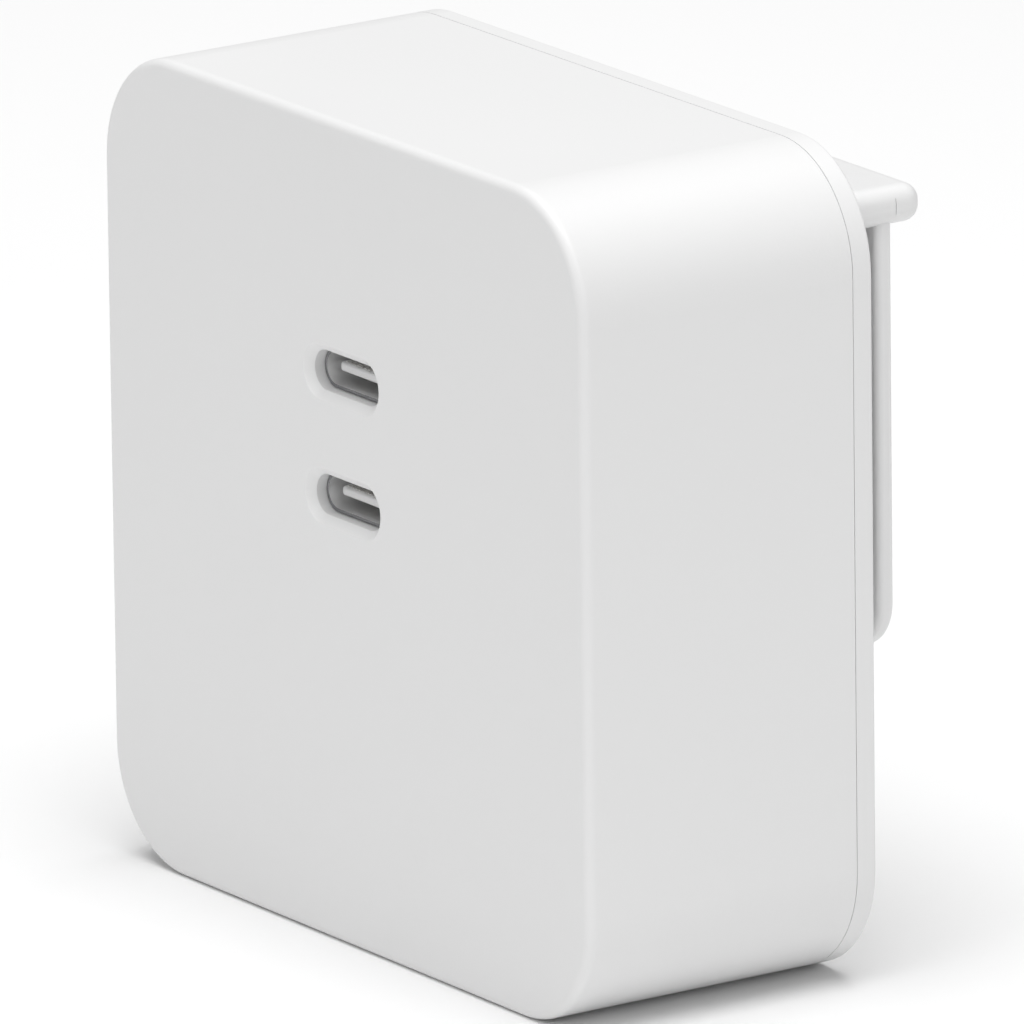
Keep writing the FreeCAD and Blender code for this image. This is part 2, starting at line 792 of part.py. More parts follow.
def make_head_contact(side):
    """A bent leaf: a wiper around the pivot pin and a foot with a dimple over the stud."""
    inner = side * contact_inner_x
    wiper_x = side * (contact_inner_x + leaf_thickness)
    foot_x = side * contact_outer_x
    foot_y = back_y + contact_gap + dimple_height
    z0 = stud_height - stud_diameter / 2
    wiper = box(min(inner, wiper_x), max(inner, wiper_x), foot_y, contact_back_y, z0, contact_top_z)
    hole = cylinder_x(pivot_y, pivot_height, pin_diameter / 2 + leaf_thickness,
                      min(inner, wiper_x) - leaf_thickness, max(inner, wiper_x) + leaf_thickness)
    foot = box(min(inner, foot_x), max(inner, foot_x), foot_y, foot_y + leaf_thickness,
               z0, stud_height + stud_diameter / 2)
    dimple = cylinder_y(side * stud_offset_x, stud_height, dimple_radius, back_y + contact_gap, foot_y)
    return joined([wiper.cut(hole), foot, dimple])


def make_blade_spring():
    """A flat leaf that presses on the flats of the rotor."""
    y1 = pivot_y - rotor_flat - blade_spring_gap
    return centred_box(0, pivot_height, blade_spring_width, blade_spring_length, y1 - leaf_thickness, y1)


# ---------------------------------------------------------------- folding blades
def make_blade(x):
    """A flat blade hanging down from the pivot, with a round root and a hole near its tip."""
    x0 = x - blade_thickness / 2
    x1 = x + blade_thickness / 2
    half = blade_width / 2
    root = cylinder_x(pivot_y, pivot_height, half, x0, x1)
    bar = box(x0, x1, pivot_y - half, pivot_y + half, blade_tip_z, pivot_height)
    tip = [edge for edge in edges_at_z(bar, blade_tip_z) if edge.BoundBox.XLength > blade_thickness / 2]
    bar = bar.makeChamfer(blade_tip_chamfer, tip)
    blade = joined([root, bar])
    hole_z = blade_tip_z + blade_hole_from_tip
    blade = blade.cut(cylinder_x(pivot_y, hole_z, blade_hole_diameter / 2, x0, x1))
    return blade.cut(cylinder_x(pivot_y, pivot_height, pin_diameter / 2, x0, x1))


def make_rotor():
    """The hub between the blades, with one flat for each end of the fold."""
    reach = blade_spacing / 2 - blade_thickness / 2
    hub = cylinder_x(pivot_y, pivot_height, rotor_radius, -reach, reach)
    size = rotor_radius + rotor_gap
    folded_flat = box(-reach, reach, pivot_y - size, pivot_y - rotor_flat,
                      pivot_height - size, pivot_height + size)
    open_flat = box(-reach, reach, pivot_y - size, pivot_y + size,
                    pivot_height + rotor_flat, pivot_height + size)
    bore = cylinder_x(pivot_y, pivot_height, pin_diameter / 2, -reach, reach)
    return hub.cut([folded_flat, open_flat, bore])


def make_pivot_pin():
    """The steel pin through the blades and the rotor."""
    return cylinder_x(pivot_y, pivot_height, pin_diameter / 2, -pin_half_length, pin_half_length)


# ---------------------------------------------------------------- the whole charger
def make_nodes():
    """Every node by name."""
    nodes = {
        "housing": make_housing(),
        "back_cover": make_back_cover(),
        "main_board": make_main_board(),
        "port_board": make_port_board(),
        "board_link_header": make_link_header(),
        "board_link_pins": make_link_pins(),
        "usb_controller_chips": make_usb_chips(),
        "front_heat_spreader": make_front_plate(front_inner_y, spreader_back_y),
        "front_insulation_sheet": make_front_plate(spreader_back_y, sheet_back_y),
        "transformer_core": make_transformer_core(),
        "transformer_bobbin": make_transformer_bobbin(),
        "transformer_winding": make_transformer_winding(),
        "choke_core": make_choke_core(),
        "choke_windings": make_choke_windings(),
        "output_inductor_core": make_inductor_core(),
        "output_inductor_winding": make_inductor_winding(),
        "x_capacitor": make_block(x_capacitor_x, x_capacitor_z, x_capacitor_width, x_capacitor_height,
                                  x_capacitor_depth, x_capacitor_edge_radius),
        "fuse": make_block(fuse_x, fuse_z, fuse_width, fuse_height, fuse_depth, fuse_edge_radius),
        "y_capacitor": cylinder_z(y_capacitor_x, board_front_y - y_capacitor_radius, y_capacitor_radius,
                                  y_capacitor_z, y_capacitor_z + y_capacitor_thickness),
        "bridge_rectifier": make_bridge_rectifier(),
        "switch_transistor": make_rear_chip(switch_x, switch_z, switch_size, switch_size),
        "controller_chip": make_rear_chip(controller_x, controller_z, controller_width,
                                          controller_height),
        "sync_rectifier_chip": make_rear_chip(rectifier_x, rectifier_z, rectifier_width,
                                              rectifier_height),
        "thermal_pad": centred_box(switch_x, switch_z, switch_size, switch_size,
                                   board_back_y + chip_thickness, rear_spreader_y),
        "rear_heat_spreader": centred_box(switch_x, switch_z, rear_spreader_width, rear_spreader_height,
                                          rear_spreader_y, cover_inner_y),
        "insulation_barrier": box(barrier_x, barrier_x + barrier_thickness, board_front_y - barrier_depth,
                                  board_front_y, barrier_z, barrier_z + barrier_height),
        "dock_detent_spring": make_dock_spring(),
        "plug_head_base": make_plug_head_base(),
        "plug_head_cover": make_plug_head_cover(),
        "blade_detent_spring": make_blade_spring(),
        "blade_rotor": make_rotor(),
        "blade_pivot_pin": make_pivot_pin(),
    }
    for name, z in port_places.items():
        nodes["port_shell_" + name] = make_port_shell(z)
        nodes["port_insulator_" + name] = make_port_insulator(z)
        nodes["port_contacts_" + name] = make_port_contacts(z)
    for number, x in enumerate(bulk_capacitor_places, start=1):
        nodes["bulk_capacitor_" + str(number)] = make_bulk_capacitor(x)
    for number in range(output_capacitor_count):
        z = output_capacitor_z + number * output_capacitor_pitch
        nodes["output_capacitor_" + str(number + 1)] = make_output_capacitor(z)
    for name, x in stud_places.items():
        nodes["mains_stud_" + name] = make_stud(x)
        nodes["head_contact_" + name] = make_head_contact(math.copysign(1, x))
    for name, x in blade_places.items():
        nodes["blade_" + name] = make_blade(x)
    return nodes


def main():
    """Write one STEP file for each node."""
    os.makedirs("parts", exist_ok=True)
    for name, shape in make_nodes().items():
        if not shape.isValid():
            raise ValueError(name + " is not a valid solid")
        shape.exportStep("parts/" + name + ".step")
        print(name, len(shape.Solids), round(shape.Volume, 2))


main()
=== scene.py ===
import logging
import math
from dataclasses import dataclass
from enum import Enum
from typing import Any, Callable, ClassVar, Iterable, Optional

import bmesh
import bpy
from mathutils import Matrix, Vector


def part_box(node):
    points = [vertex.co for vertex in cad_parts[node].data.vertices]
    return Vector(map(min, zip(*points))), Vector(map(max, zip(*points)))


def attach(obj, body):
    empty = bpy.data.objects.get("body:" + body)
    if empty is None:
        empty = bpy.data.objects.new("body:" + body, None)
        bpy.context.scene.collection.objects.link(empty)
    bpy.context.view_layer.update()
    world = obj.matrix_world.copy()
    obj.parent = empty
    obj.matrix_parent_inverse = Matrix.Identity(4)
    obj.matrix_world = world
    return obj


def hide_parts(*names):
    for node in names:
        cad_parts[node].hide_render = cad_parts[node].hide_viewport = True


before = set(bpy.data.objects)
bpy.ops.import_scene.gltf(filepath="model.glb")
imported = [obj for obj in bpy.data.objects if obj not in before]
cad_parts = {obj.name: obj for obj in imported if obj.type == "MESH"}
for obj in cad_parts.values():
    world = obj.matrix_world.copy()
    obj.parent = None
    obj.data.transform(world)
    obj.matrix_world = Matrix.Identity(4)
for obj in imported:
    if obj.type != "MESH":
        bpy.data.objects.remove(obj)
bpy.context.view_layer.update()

log = logging.getLogger("charger")

MILLIMETRE = 0.001
# In metres: places this near each other are the same, and verts nearer still are merged.
TOUCHING = 1e-6
MERGE_DISTANCE = 1e-7
# A direction with more than this along an axis runs along it.
NEARLY_ALONG = 0.9
BODY_CASE = "case"
BODY_BLADES = "blades"
Colour = tuple[float, float, float, float]


# ---- shader maths
class Channel:
    """A number socket that takes part in Python arithmetic."""

    def __init__(self, sheet: "ShaderSheet", socket: bpy.types.NodeSocket) -> None:
        """Wraps a socket of a sheet."""
        self.sheet = sheet
        self.socket = socket

    def maths(self, operation: str, *values: Any) -> "Channel":
        """Adds one Math node.

        Args:
            operation: The Math node's operation.
            values: Its inputs, as channels or numbers.

        Returns:
            The node's result.
        """
        inputs = dict(enumerate(values))
        node = self.sheet.node("ShaderNodeMath", {"operation": operation}, inputs)
        return Channel(self.sheet, node.outputs[0])

    def __add__(self, other: Any) -> "Channel":
        """This plus other."""
        return self.maths("ADD", self, other)

    __radd__ = __add__

    def __sub__(self, other: Any) -> "Channel":
        """This minus other."""
        return self.maths("SUBTRACT", self, other)

    def __rsub__(self, other: Any) -> "Channel":
        """Other minus this."""
        return self.maths("SUBTRACT", other, self)

    def __mul__(self, other: Any) -> "Channel":
        """This times other."""
        return self.maths("MULTIPLY", self, other)

    __rmul__ = __mul__

    def __truediv__(self, other: Any) -> "Channel":
        """This over other."""
        return self.maths("DIVIDE", self, other)

    def above(self, limit: Any) -> "Channel":
        """One where this is over the limit, else nought."""
        return self.maths("GREATER_THAN", self, limit)

    def wave(self) -> "Channel":
        """The sine of this, moved into the range nought to one."""
        return self.maths("SINE", self) * 0.5 + 0.5

    def held(self) -> "Channel":
        """This, kept between nought and one."""
        return self.maths("MINIMUM", self.maths("MAXIMUM", self, 0.0), 1.0)


class ShaderSheet:
    """One material's nodes, built from a Principled shader outwards."""

    # The Mix node's colour sockets share their names with its number sockets, so they go by place.
    MIX_FACTOR = 0
    MIX_FIRST = 6
    MIX_SECOND = 7
    MIX_RESULT = 2

    def __init__(self, name: str) -> None:
        """Starts a material of that name."""
        self.material = bpy.data.materials.new(name)
        self.material.use_nodes = True
        self.tree = self.material.node_tree
        self.tree.nodes.clear()
        self.shader = self.tree.nodes.new("ShaderNodeBsdfPrincipled")
        output = self.tree.nodes.new("ShaderNodeOutputMaterial")
        self.tree.links.new(self.shader.outputs["BSDF"], output.inputs["Surface"])

    def node(
        self, kind: str, settings: Optional[dict] = None, inputs: Optional[dict] = None
    ) -> bpy.types.Node:
        """Adds any node.

        Args:
            kind: The node's type.
            settings: Properties, set first; a ramp's stops are under "stops".
            inputs: Values or links for its sockets, by name or place.

        Returns:
            The new node.
        """
        node = self.tree.nodes.new(kind)
        for key, value in (settings or {}).items():
            if key == "stops":
                self.set_stops(node.color_ramp, value)
            else:
                setattr(node, key, value)
        for key, value in (inputs or {}).items():
            self.feed(node.inputs[key], value)
        return node

    def set_stops(self, ramp: bpy.types.ColorRamp, stops: list[tuple[float, Colour]]) -> None:
        """Gives a ramp its stops."""
        while len(ramp.elements) < len(stops):
            ramp.elements.new(0.5)
        for element, (place, colour) in zip(ramp.elements, stops):
            element.position = place
            element.color = colour

    def feed(self, socket: bpy.types.NodeSocket, value: Any) -> None:
        """Links a channel or socket to a socket, or sets its value."""
        if isinstance(value, Channel):
            self.tree.links.new(value.socket, socket)
        elif isinstance(value, bpy.types.NodeSocket):
            self.tree.links.new(value, socket)
        else:
            socket.default_value = value

    def place(self) -> bpy.types.NodeSocket:
        """The object's own coordinates, in metres."""
        return self.node("ShaderNodeTexCoord").outputs["Object"]

    def stretched(self, factors: tuple[float, float, float]) -> bpy.types.NodeSocket:
        """The object's coordinates, scaled along each axis."""
        inputs = {"Vector": self.place(), "Scale": factors}
        return self.node("ShaderNodeMapping", {}, inputs).outputs["Vector"]

    def axis(self, name: str) -> Channel:
        """One of the object's coordinates, X, Y or Z, in metres."""
        split = self.node("ShaderNodeSeparateXYZ", {}, {"Vector": self.place()})
        return Channel(self, split.outputs[name])

    def noise(
        self, size: float, detail: float = 2.0, vector: Optional[bpy.types.NodeSocket] = None
    ) -> Channel:
        """Soft random variation.

        Args:
            size: The size of its features, in metres.
            detail: How many finer layers it has.
            vector: Coordinates in place of the object's own.

        Returns:
            A channel around one half.
        """
        inputs = {"Vector": vector or self.place(), "Scale": 1.0 / size, "Detail": detail}
        return Channel(self, self.node("ShaderNodeTexNoise", {}, inputs).outputs[0])

    def cells(self, size: float) -> Channel:
        """The distance to the nearest of many scattered points, in cell widths."""
        inputs = {"Vector": self.place(), "Scale": 1.0 / size}
        return Channel(self, self.node("ShaderNodeTexVoronoi", {}, inputs).outputs["Distance"])

    def blend(self, factor: Channel, first: Any, second: Any) -> bpy.types.NodeSocket:
        """Mixes two colours.

        Args:
            factor: Nought for the first, one for the second.
            first: A colour or a colour socket.
            second: A colour or a colour socket.

        Returns:
            The mixed colour's socket.
        """
        node = self.node("ShaderNodeMix", {"data_type": "RGBA"})
        self.feed(node.inputs[self.MIX_FACTOR], factor.held())
        self.feed(node.inputs[self.MIX_FIRST], first)
        self.feed(node.inputs[self.MIX_SECOND], second)
        return node.outputs[self.MIX_RESULT]

    def bump(self, height: Channel, distance: float, strength: float = 1.0) -> bpy.types.NodeSocket:
        """Turns a height into a normal; distance is the depth in metres at height one."""
        inputs = {"Height": height, "Distance": distance, "Strength": strength}
        return self.node("ShaderNodeBump", {}, inputs).outputs["Normal"]

    def finish(self, **sockets: Any) -> bpy.types.Material:
        """Feeds the shader's sockets, with _ for a space in their names.

        Args:
            sockets: Values, channels or sockets.

        Returns:
            The finished material.
        """
        for key, value in sockets.items():
            self.feed(self.shader.inputs[key.replace("_", " ")], value)
        return self.material


def shade(colour: Colour, factor: float) -> Colour:
    """A colour made darker or lighter by a factor."""
    red, green, blue, alpha = colour
    return (red * factor, green * factor, blue * factor, alpha)


# ---- finishes
@dataclass(frozen=True)
class MouldedPlastic:
    """Injection-moulded plastic with a spark-eroded texture."""

    name: str
    colour: Colour
    roughness: float = 0.46
    grain: float = 0.22 * MILLIMETRE
    grain_depth: float = 0.006 * MILLIMETRE
    cloud: float = 24 * MILLIMETRE
    cloud_shade: float = 0.985
    cloud_gloss: float = 0.05
    grain_gloss: float = 0.12
    grain_share: float = 0.7
    pit_spread: float = 1.7
    pit_sharpness: float = 5.0
    pit_strength: float = 0.35
    pit_shade: float = 0.94
    refraction: float = 1.49

    def make(self) -> bpy.types.Material:
        """Builds the material."""
        sheet = ShaderSheet(self.name)
        clouds = sheet.noise(self.cloud, 1.0)
        grain = sheet.noise(self.grain, 3.0)
        pits = sheet.cells(self.grain * self.pit_spread)
        specks = (1.0 - pits * self.pit_sharpness).held()
        tone = sheet.blend(clouds, shade(self.colour, self.cloud_shade), self.colour)
        tone = sheet.blend(specks * self.pit_strength, tone, shade(self.colour, self.pit_shade))
        gloss = self.roughness + (grain - 0.5) * self.grain_gloss + (clouds - 0.5) * self.cloud_gloss
        relief = grain * self.grain_share + pits * (1.0 - self.grain_share)
        return sheet.finish(
            Base_Color=tone,
            Roughness=gloss,
            Normal=sheet.bump(relief, self.grain_depth),
            IOR=self.refraction,
        )


@dataclass(frozen=True)
class DrawnMetal:
    """Sheet metal with fine lines along one axis and faint handling marks."""

    name: str
    colour: Colour
    roughness: float = 0.3
    along: str = "Y"
    line: float = 0.05 * MILLIMETRE
    line_stretch: float = 0.06
    line_gloss: float = 0.18
    line_depth: float = 0.002 * MILLIMETRE
    mark: float = 2.5 * MILLIMETRE
    mark_gloss: float = 0.1
    tarnish: float = 0.12
    tarnish_start: float = 0.45
    tarnish_contrast: float = 3.0
    tarnish_shade: float = 0.7

    def make(self) -> bpy.types.Material:
        """Builds the material."""
        sheet = ShaderSheet(self.name)
        stretch = tuple(self.line_stretch if axis == self.along else 1.0 for axis in "XYZ")
        lines = sheet.noise(self.line, 2.0, sheet.stretched(stretch))
        marks = sheet.noise(self.mark, 3.0)
        stain = (marks - self.tarnish_start) * self.tarnish_contrast
        tone = sheet.blend(stain * self.tarnish, self.colour, shade(self.colour, self.tarnish_shade))
        gloss = self.roughness + (lines - 0.5) * self.line_gloss + (marks - 0.5) * self.mark_gloss
        return sheet.finish(
            Base_Color=tone,
            Metallic=1.0,
            Roughness=gloss,
            Normal=sheet.bump(lines, self.line_depth),
        )


@dataclass(frozen=True)
class ShellSteel:
    """The receptacles' plated steel, with the band at the mouth painted darker as shade and made glossier.
    """

    name: str
    colour: Colour
    # The colour of the painted shade on the band at the mouth.
    mouth_painted_shade: Colour
    edge_end: float
    roughness: float = 0.48
    line: float = 0.05 * MILLIMETRE
    line_stretch: float = 0.06
    line_gloss: float = 0.16
    line_depth: float = 0.002 * MILLIMETRE
    mark: float = 2.0 * MILLIMETRE
    mark_start: float = 0.4
    mark_strength: float = 0.5
    mark_shade: float = 0.8
    edge_gloss: float = 0.2

    def make(self) -> bpy.types.Material:
        """Builds the material."""
        sheet = ShaderSheet(self.name)
        lines = sheet.noise(self.line, 2.0, sheet.stretched((1.0, self.line_stretch, 1.0)))
        marks = (sheet.noise(self.mark, 3.0) - self.mark_start) * self.mark_strength
        inside = sheet.axis("Y").above(self.edge_end)
        tone = sheet.blend(marks, self.colour, shade(self.colour, self.mark_shade))
        # Painted shade: the band at the mouth, in front of edge_end, gets the dark colour.
        tone = sheet.blend(inside, self.mouth_painted_shade, tone)
        gloss = self.roughness + (lines - 0.5) * self.line_gloss - (1.0 - inside) * self.edge_gloss
        return sheet.finish(
            Base_Color=tone,
            Metallic=1.0,
            Roughness=gloss,
            Normal=sheet.bump(lines, self.line_depth),
        )


@dataclass(frozen=True)
class SolderMask:
    """A printed board: mask over copper tracks, with plated holes."""

    name: str
    mask: Colour
    plating: Colour = (0.62, 0.6, 0.55, 1.0)
    pitch: float = 1.27 * MILLIMETRE
    wander: float = 9 * MILLIMETRE
    wander_turns: float = 6.0
    region: float = 14 * MILLIMETRE
    track_level: float = 0.62
    track_strength: float = 0.8
    track_shade: float = 2.0
    hole_spacing: float = 4.0 * MILLIMETRE
    hole_level: float = 0.09
    fibre: float = 0.3 * MILLIMETRE
    fibre_gloss: float = 0.2
    roughness: float = 0.32
    relief: float = 0.035 * MILLIMETRE
    coat: float = 0.3

    def make(self) -> bpy.types.Material:
        """Builds the material."""
        sheet = ShaderSheet(self.name)
        wander = sheet.noise(self.wander, 1.0) * self.wander_turns
        across = (sheet.axis("X") / self.pitch + wander) * math.pi
        upward = (sheet.axis("Z") / self.pitch + wander) * math.pi
        regions = sheet.noise(self.region, 0.0).above(0.5)
        tracks = (across.wave() * regions + upward.wave() * (1.0 - regions)).above(self.track_level)
        holes = 1.0 - sheet.cells(self.hole_spacing).above(self.hole_level)
        fibre = sheet.noise(self.fibre, 2.0)
        tone = sheet.blend(tracks * self.track_strength, self.mask, shade(self.mask, self.track_shade))
        tone = sheet.blend(holes, tone, self.plating)
        return sheet.finish(
            Base_Color=tone,
            Metallic=holes,
            Roughness=self.roughness + fibre * self.fibre_gloss,
            Normal=sheet.bump(tracks + holes * 0.5, self.relief),
            Coat_Weight=self.coat,
        )


@dataclass(frozen=True)
class WoundFinish:
    """Enamelled wire or tape laid in bands along one axis, with painted shade in the valleys between
    turns.
    """

    name: str
    colour: Colour
    pitch: float
    along: str = "Z"
    metallic: float = 0.0
    roughness: float = 0.35
    depth: float = 0.08 * MILLIMETRE
    # How dark the painted shade in the valleys between turns is.
    painted_valley_shade: float = 0.55
    patch: float = 1.5 * MILLIMETRE
    patch_strength: float = 0.8
    patch_shade: float = 1.2
    patch_gloss: float = 0.15
    coat: float = 0.25

    def make(self) -> bpy.types.Material:
        """Builds the material."""
        sheet = ShaderSheet(self.name)
        turns = (sheet.axis(self.along) * (2 * math.pi / self.pitch)).wave()
        patch = sheet.noise(self.patch, 3.0)
        # Painted shade: darker in the valleys between turns.
        tone = sheet.blend(1.0 - turns, self.colour, shade(self.colour, self.painted_valley_shade))
        lighter = shade(self.colour, self.patch_shade)
        tone = sheet.blend((patch - 0.5) * self.patch_strength, tone, lighter)
        return sheet.finish(
            Base_Color=tone,
            Metallic=self.metallic,
            Roughness=self.roughness + patch * self.patch_gloss,
            Normal=sheet.bump(turns, self.depth),
            Coat_Weight=self.coat,
        )


@dataclass(frozen=True)
class FiredGrain:
    """Pressed and fired or dipped material, such as ferrite or a coated disc."""

    name: str
    colour: Colour
    roughness: float = 0.55
    grain: float = 0.35 * MILLIMETRE
    depth: float = 0.02 * MILLIMETRE
    grain_start: float = 0.35
    grain_contrast: float = 1.5
    grain_gloss: float = 0.3
    dark_shade: float = 0.75
    light_shade: float = 1.25
    chip_spacing: float = 1.8 * MILLIMETRE
    chip_level: float = 0.12
    chip_strength: float = 0.4
    chip_shade: float = 1.8

    def make(self) -> bpy.types.Material:
        """Builds the material."""
        sheet = ShaderSheet(self.name)
        grain = sheet.noise(self.grain, 4.0)
        spread = (grain - self.grain_start) * self.grain_contrast
        chips = (1.0 - sheet.cells(self.chip_spacing).above(self.chip_level)) * self.chip_strength
        darker = shade(self.colour, self.dark_shade)
        tone = sheet.blend(spread, darker, shade(self.colour, self.light_shade))
        tone = sheet.blend(chips, tone, shade(self.colour, self.chip_shade))
        return sheet.finish(
            Base_Color=tone,
            Roughness=self.roughness + (grain - 0.5) * self.grain_gloss,
            Normal=sheet.bump(grain - chips, self.depth),
        )


@dataclass(frozen=True)
class ThinFilm:
    """A thin insulating sheet, slightly clear, with creases whose valleys are painted darker as shade."""

    name: str
    colour: Colour
    roughness: float = 0.25
    crease: float = 11 * MILLIMETRE
    crease_depth: float = 0.15 * MILLIMETRE
    # How dark the painted shade in the crease valleys is.
    painted_crease_shade: float = 0.9
    dust: float = 0.4 * MILLIMETRE
    dust_gloss: float = 0.2
    dust_alpha: float = 0.1
    opacity: float = 0.86

    def make(self) -> bpy.types.Material:
        """Builds the material."""
        sheet = ShaderSheet(self.name)
        creases = sheet.noise(self.crease, 4.0)
        dust = sheet.noise(self.dust, 2.0)
        # Painted shade: darker where the creases dip.
        tone = sheet.blend(creases, shade(self.colour, self.painted_crease_shade), self.colour)
        return sheet.finish(
            Base_Color=tone,
            Roughness=self.roughness + dust * self.dust_gloss,
            Normal=sheet.bump(creases, self.crease_depth),
            Alpha=self.opacity + (dust - 0.5) * self.dust_alpha,
        )


class Look(Enum):
    """The finishes of the charger's pieces."""

    CASE = MouldedPlastic("case_white", (0.79, 0.79, 0.79, 1.0))
    HEAD = MouldedPlastic("head_white", (0.78, 0.78, 0.78, 1.0), roughness=0.42)
    ROTOR = MouldedPlastic("rotor_white", (0.78, 0.78, 0.77, 1.0), roughness=0.38)
    PORT_STEEL = ShellSteel(
        "port_steel",
        colour=(0.93, 0.93, 0.93, 1.0),
        # The dark colour is painted shade for the band at the mouth.
        mouth_painted_shade=(0.3, 0.3, 0.31, 1.0),
        edge_end=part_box("port_shell_upper")[0][1] + 0.06 * MILLIMETRE,
    )
    PORT_PLASTIC = MouldedPlastic("port_tongue_plastic", (0.78, 0.78, 0.78, 1.0), roughness=0.42)
    GOLD = DrawnMetal("contact_gold", (0.83, 0.815, 0.785, 1.0), roughness=0.5, tarnish=0.05)
    BOARD = SolderMask("board_mask", (0.012, 0.085, 0.045, 1.0))
    CHIP = MouldedPlastic("chip_epoxy", (0.022, 0.022, 0.024, 1.0), roughness=0.55)
    FERRITE = FiredGrain("ferrite_grey", (0.06, 0.06, 0.065, 1.0))
    TAPE = WoundFinish("winding_tape", (0.72, 0.46, 0.06, 1.0), pitch=3.0 * MILLIMETRE)
    COPPER = WoundFinish("copper_wire", (0.6, 0.24, 0.1, 1.0), pitch=0.7 * MILLIMETRE, metallic=1.0)
    SLEEVE = MouldedPlastic("capacitor_sleeve", (0.03, 0.04, 0.07, 1.0), roughness=0.3)
    CAN = DrawnMetal("capacitor_can", (0.82, 0.83, 0.84, 1.0), roughness=0.32)
    YELLOW_BOX = MouldedPlastic("film_capacitor_yellow", (0.72, 0.48, 0.04, 1.0), roughness=0.35)
    BLUE_DISC = FiredGrain("disc_blue", (0.04, 0.14, 0.42, 1.0), roughness=0.35)
    PLATE = DrawnMetal("heat_plate", (0.78, 0.79, 0.8, 1.0), roughness=0.36, along="X")
    FILM = ThinFilm("insulating_film", (0.72, 0.71, 0.62, 1.0))
    PAD = FiredGrain("thermal_pad_grey", (0.3, 0.33, 0.37, 1.0), roughness=0.8)
    BRASS = DrawnMetal("contact_brass", (0.8, 0.58, 0.28, 1.0), roughness=0.28)
    SPRING = DrawnMetal("spring_steel", (0.58, 0.58, 0.6, 1.0), roughness=0.3, along="Z")
    NICKEL = DrawnMetal("blade_nickel", (0.74, 0.72, 0.68, 1.0), roughness=0.2, along="Z", tarnish=0.06)
    SOLDER = FiredGrain("solder_grey", (0.55, 0.56, 0.57, 1.0), roughness=0.3)
    CERAMIC = FiredGrain("small_part_tan", (0.42, 0.3, 0.2, 1.0), roughness=0.5)


class Wardrobe:
    """Makes each finish once and puts it on pieces."""

    def __init__(self) -> None:
        """Starts with no material made."""
        self.made: dict[Look, bpy.types.Material] = {}

    def dress(self, piece: bpy.types.Object, look: Look) -> None:
        """Puts a finish on every slot of a piece.

        Args:
            piece: A new piece or a CAD node.
            look: The finish.
        """
        if look not in self.made:
            self.made[look] = look.value.make()
        if not piece.material_slots:
            piece.data.materials.append(self.made[look])
        for slot in piece.material_slots:
            slot.material = self.made[look]


# ---- modelling
class Pick(Enum):
    """What a selection is made of."""

    VERT = "VERT"
    EDGE = "EDGE"
    FACE = "FACE"


@dataclass(frozen=True)
class Box:
    """A box between two corners, in metres."""

    low: Vector
    high: Vector

    @classmethod
    def of(cls, node: str) -> "Box":
        """The box of a CAD node at rest."""
        low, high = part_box(node)
        return cls(Vector(low), Vector(high))

    @property
    def middle(self) -> Vector:
        """The box's middle."""
        return (self.low + self.high) / 2

    @property
    def size(self) -> Vector:
        """The box's width, depth and height."""
        return self.high - self.low


class Editing:
    """Edit mode on one piece, with nothing selected at the start."""

    def __init__(self, piece: bpy.types.Object, kind: Pick) -> None:
        """Gets ready to edit a piece by verts, edges or faces."""
        self.piece = piece
        self.kind = kind

    def __enter__(self) -> "Editing":
        """Enters edit mode."""
        Bench.hold(self.piece)
        bpy.ops.object.mode_set(mode="EDIT")
        bpy.ops.mesh.select_mode(type=self.kind.value)
        bpy.ops.mesh.select_all(action="DESELECT")
        return self

    def __exit__(self, *details: Any) -> None:
        """Goes back to object mode."""
        bpy.ops.object.mode_set(mode="OBJECT")

    def pick(self, test: Callable[[Vector, Vector], bool]) -> None:
        """Selects the parts that pass a test, and nothing else.

        Args:
            test: Takes a part's middle and its direction: a face's or vert's normal, or an edge's line.
        """
        mesh = bmesh.from_edit_mesh(self.piece.data)
        for part in self.parts(mesh):
            part.select_set(test(self.middle(part), self.direction(part)))
        mesh.select_flush_mode()
        bmesh.update_edit_mesh(self.piece.data)

    def parts(self, mesh: bmesh.types.BMesh) -> Iterable:
        """The mesh's verts, edges or faces."""
        if self.kind is Pick.VERT:
            return mesh.verts
        return mesh.edges if self.kind is Pick.EDGE else mesh.faces

    def middle(self, part: Any) -> Vector:
        """The middle of a vert, edge or face."""
        if self.kind is Pick.VERT:
            return part.co.copy()
        if self.kind is Pick.EDGE:
            return (part.verts[0].co + part.verts[1].co) / 2
        return part.calc_center_median()

    def direction(self, part: Any) -> Vector:
        """A face's or vert's normal, or an edge's line."""
        if self.kind is Pick.EDGE:
            return (part.verts[1].co - part.verts[0].co).normalized()
        return part.normal.copy()


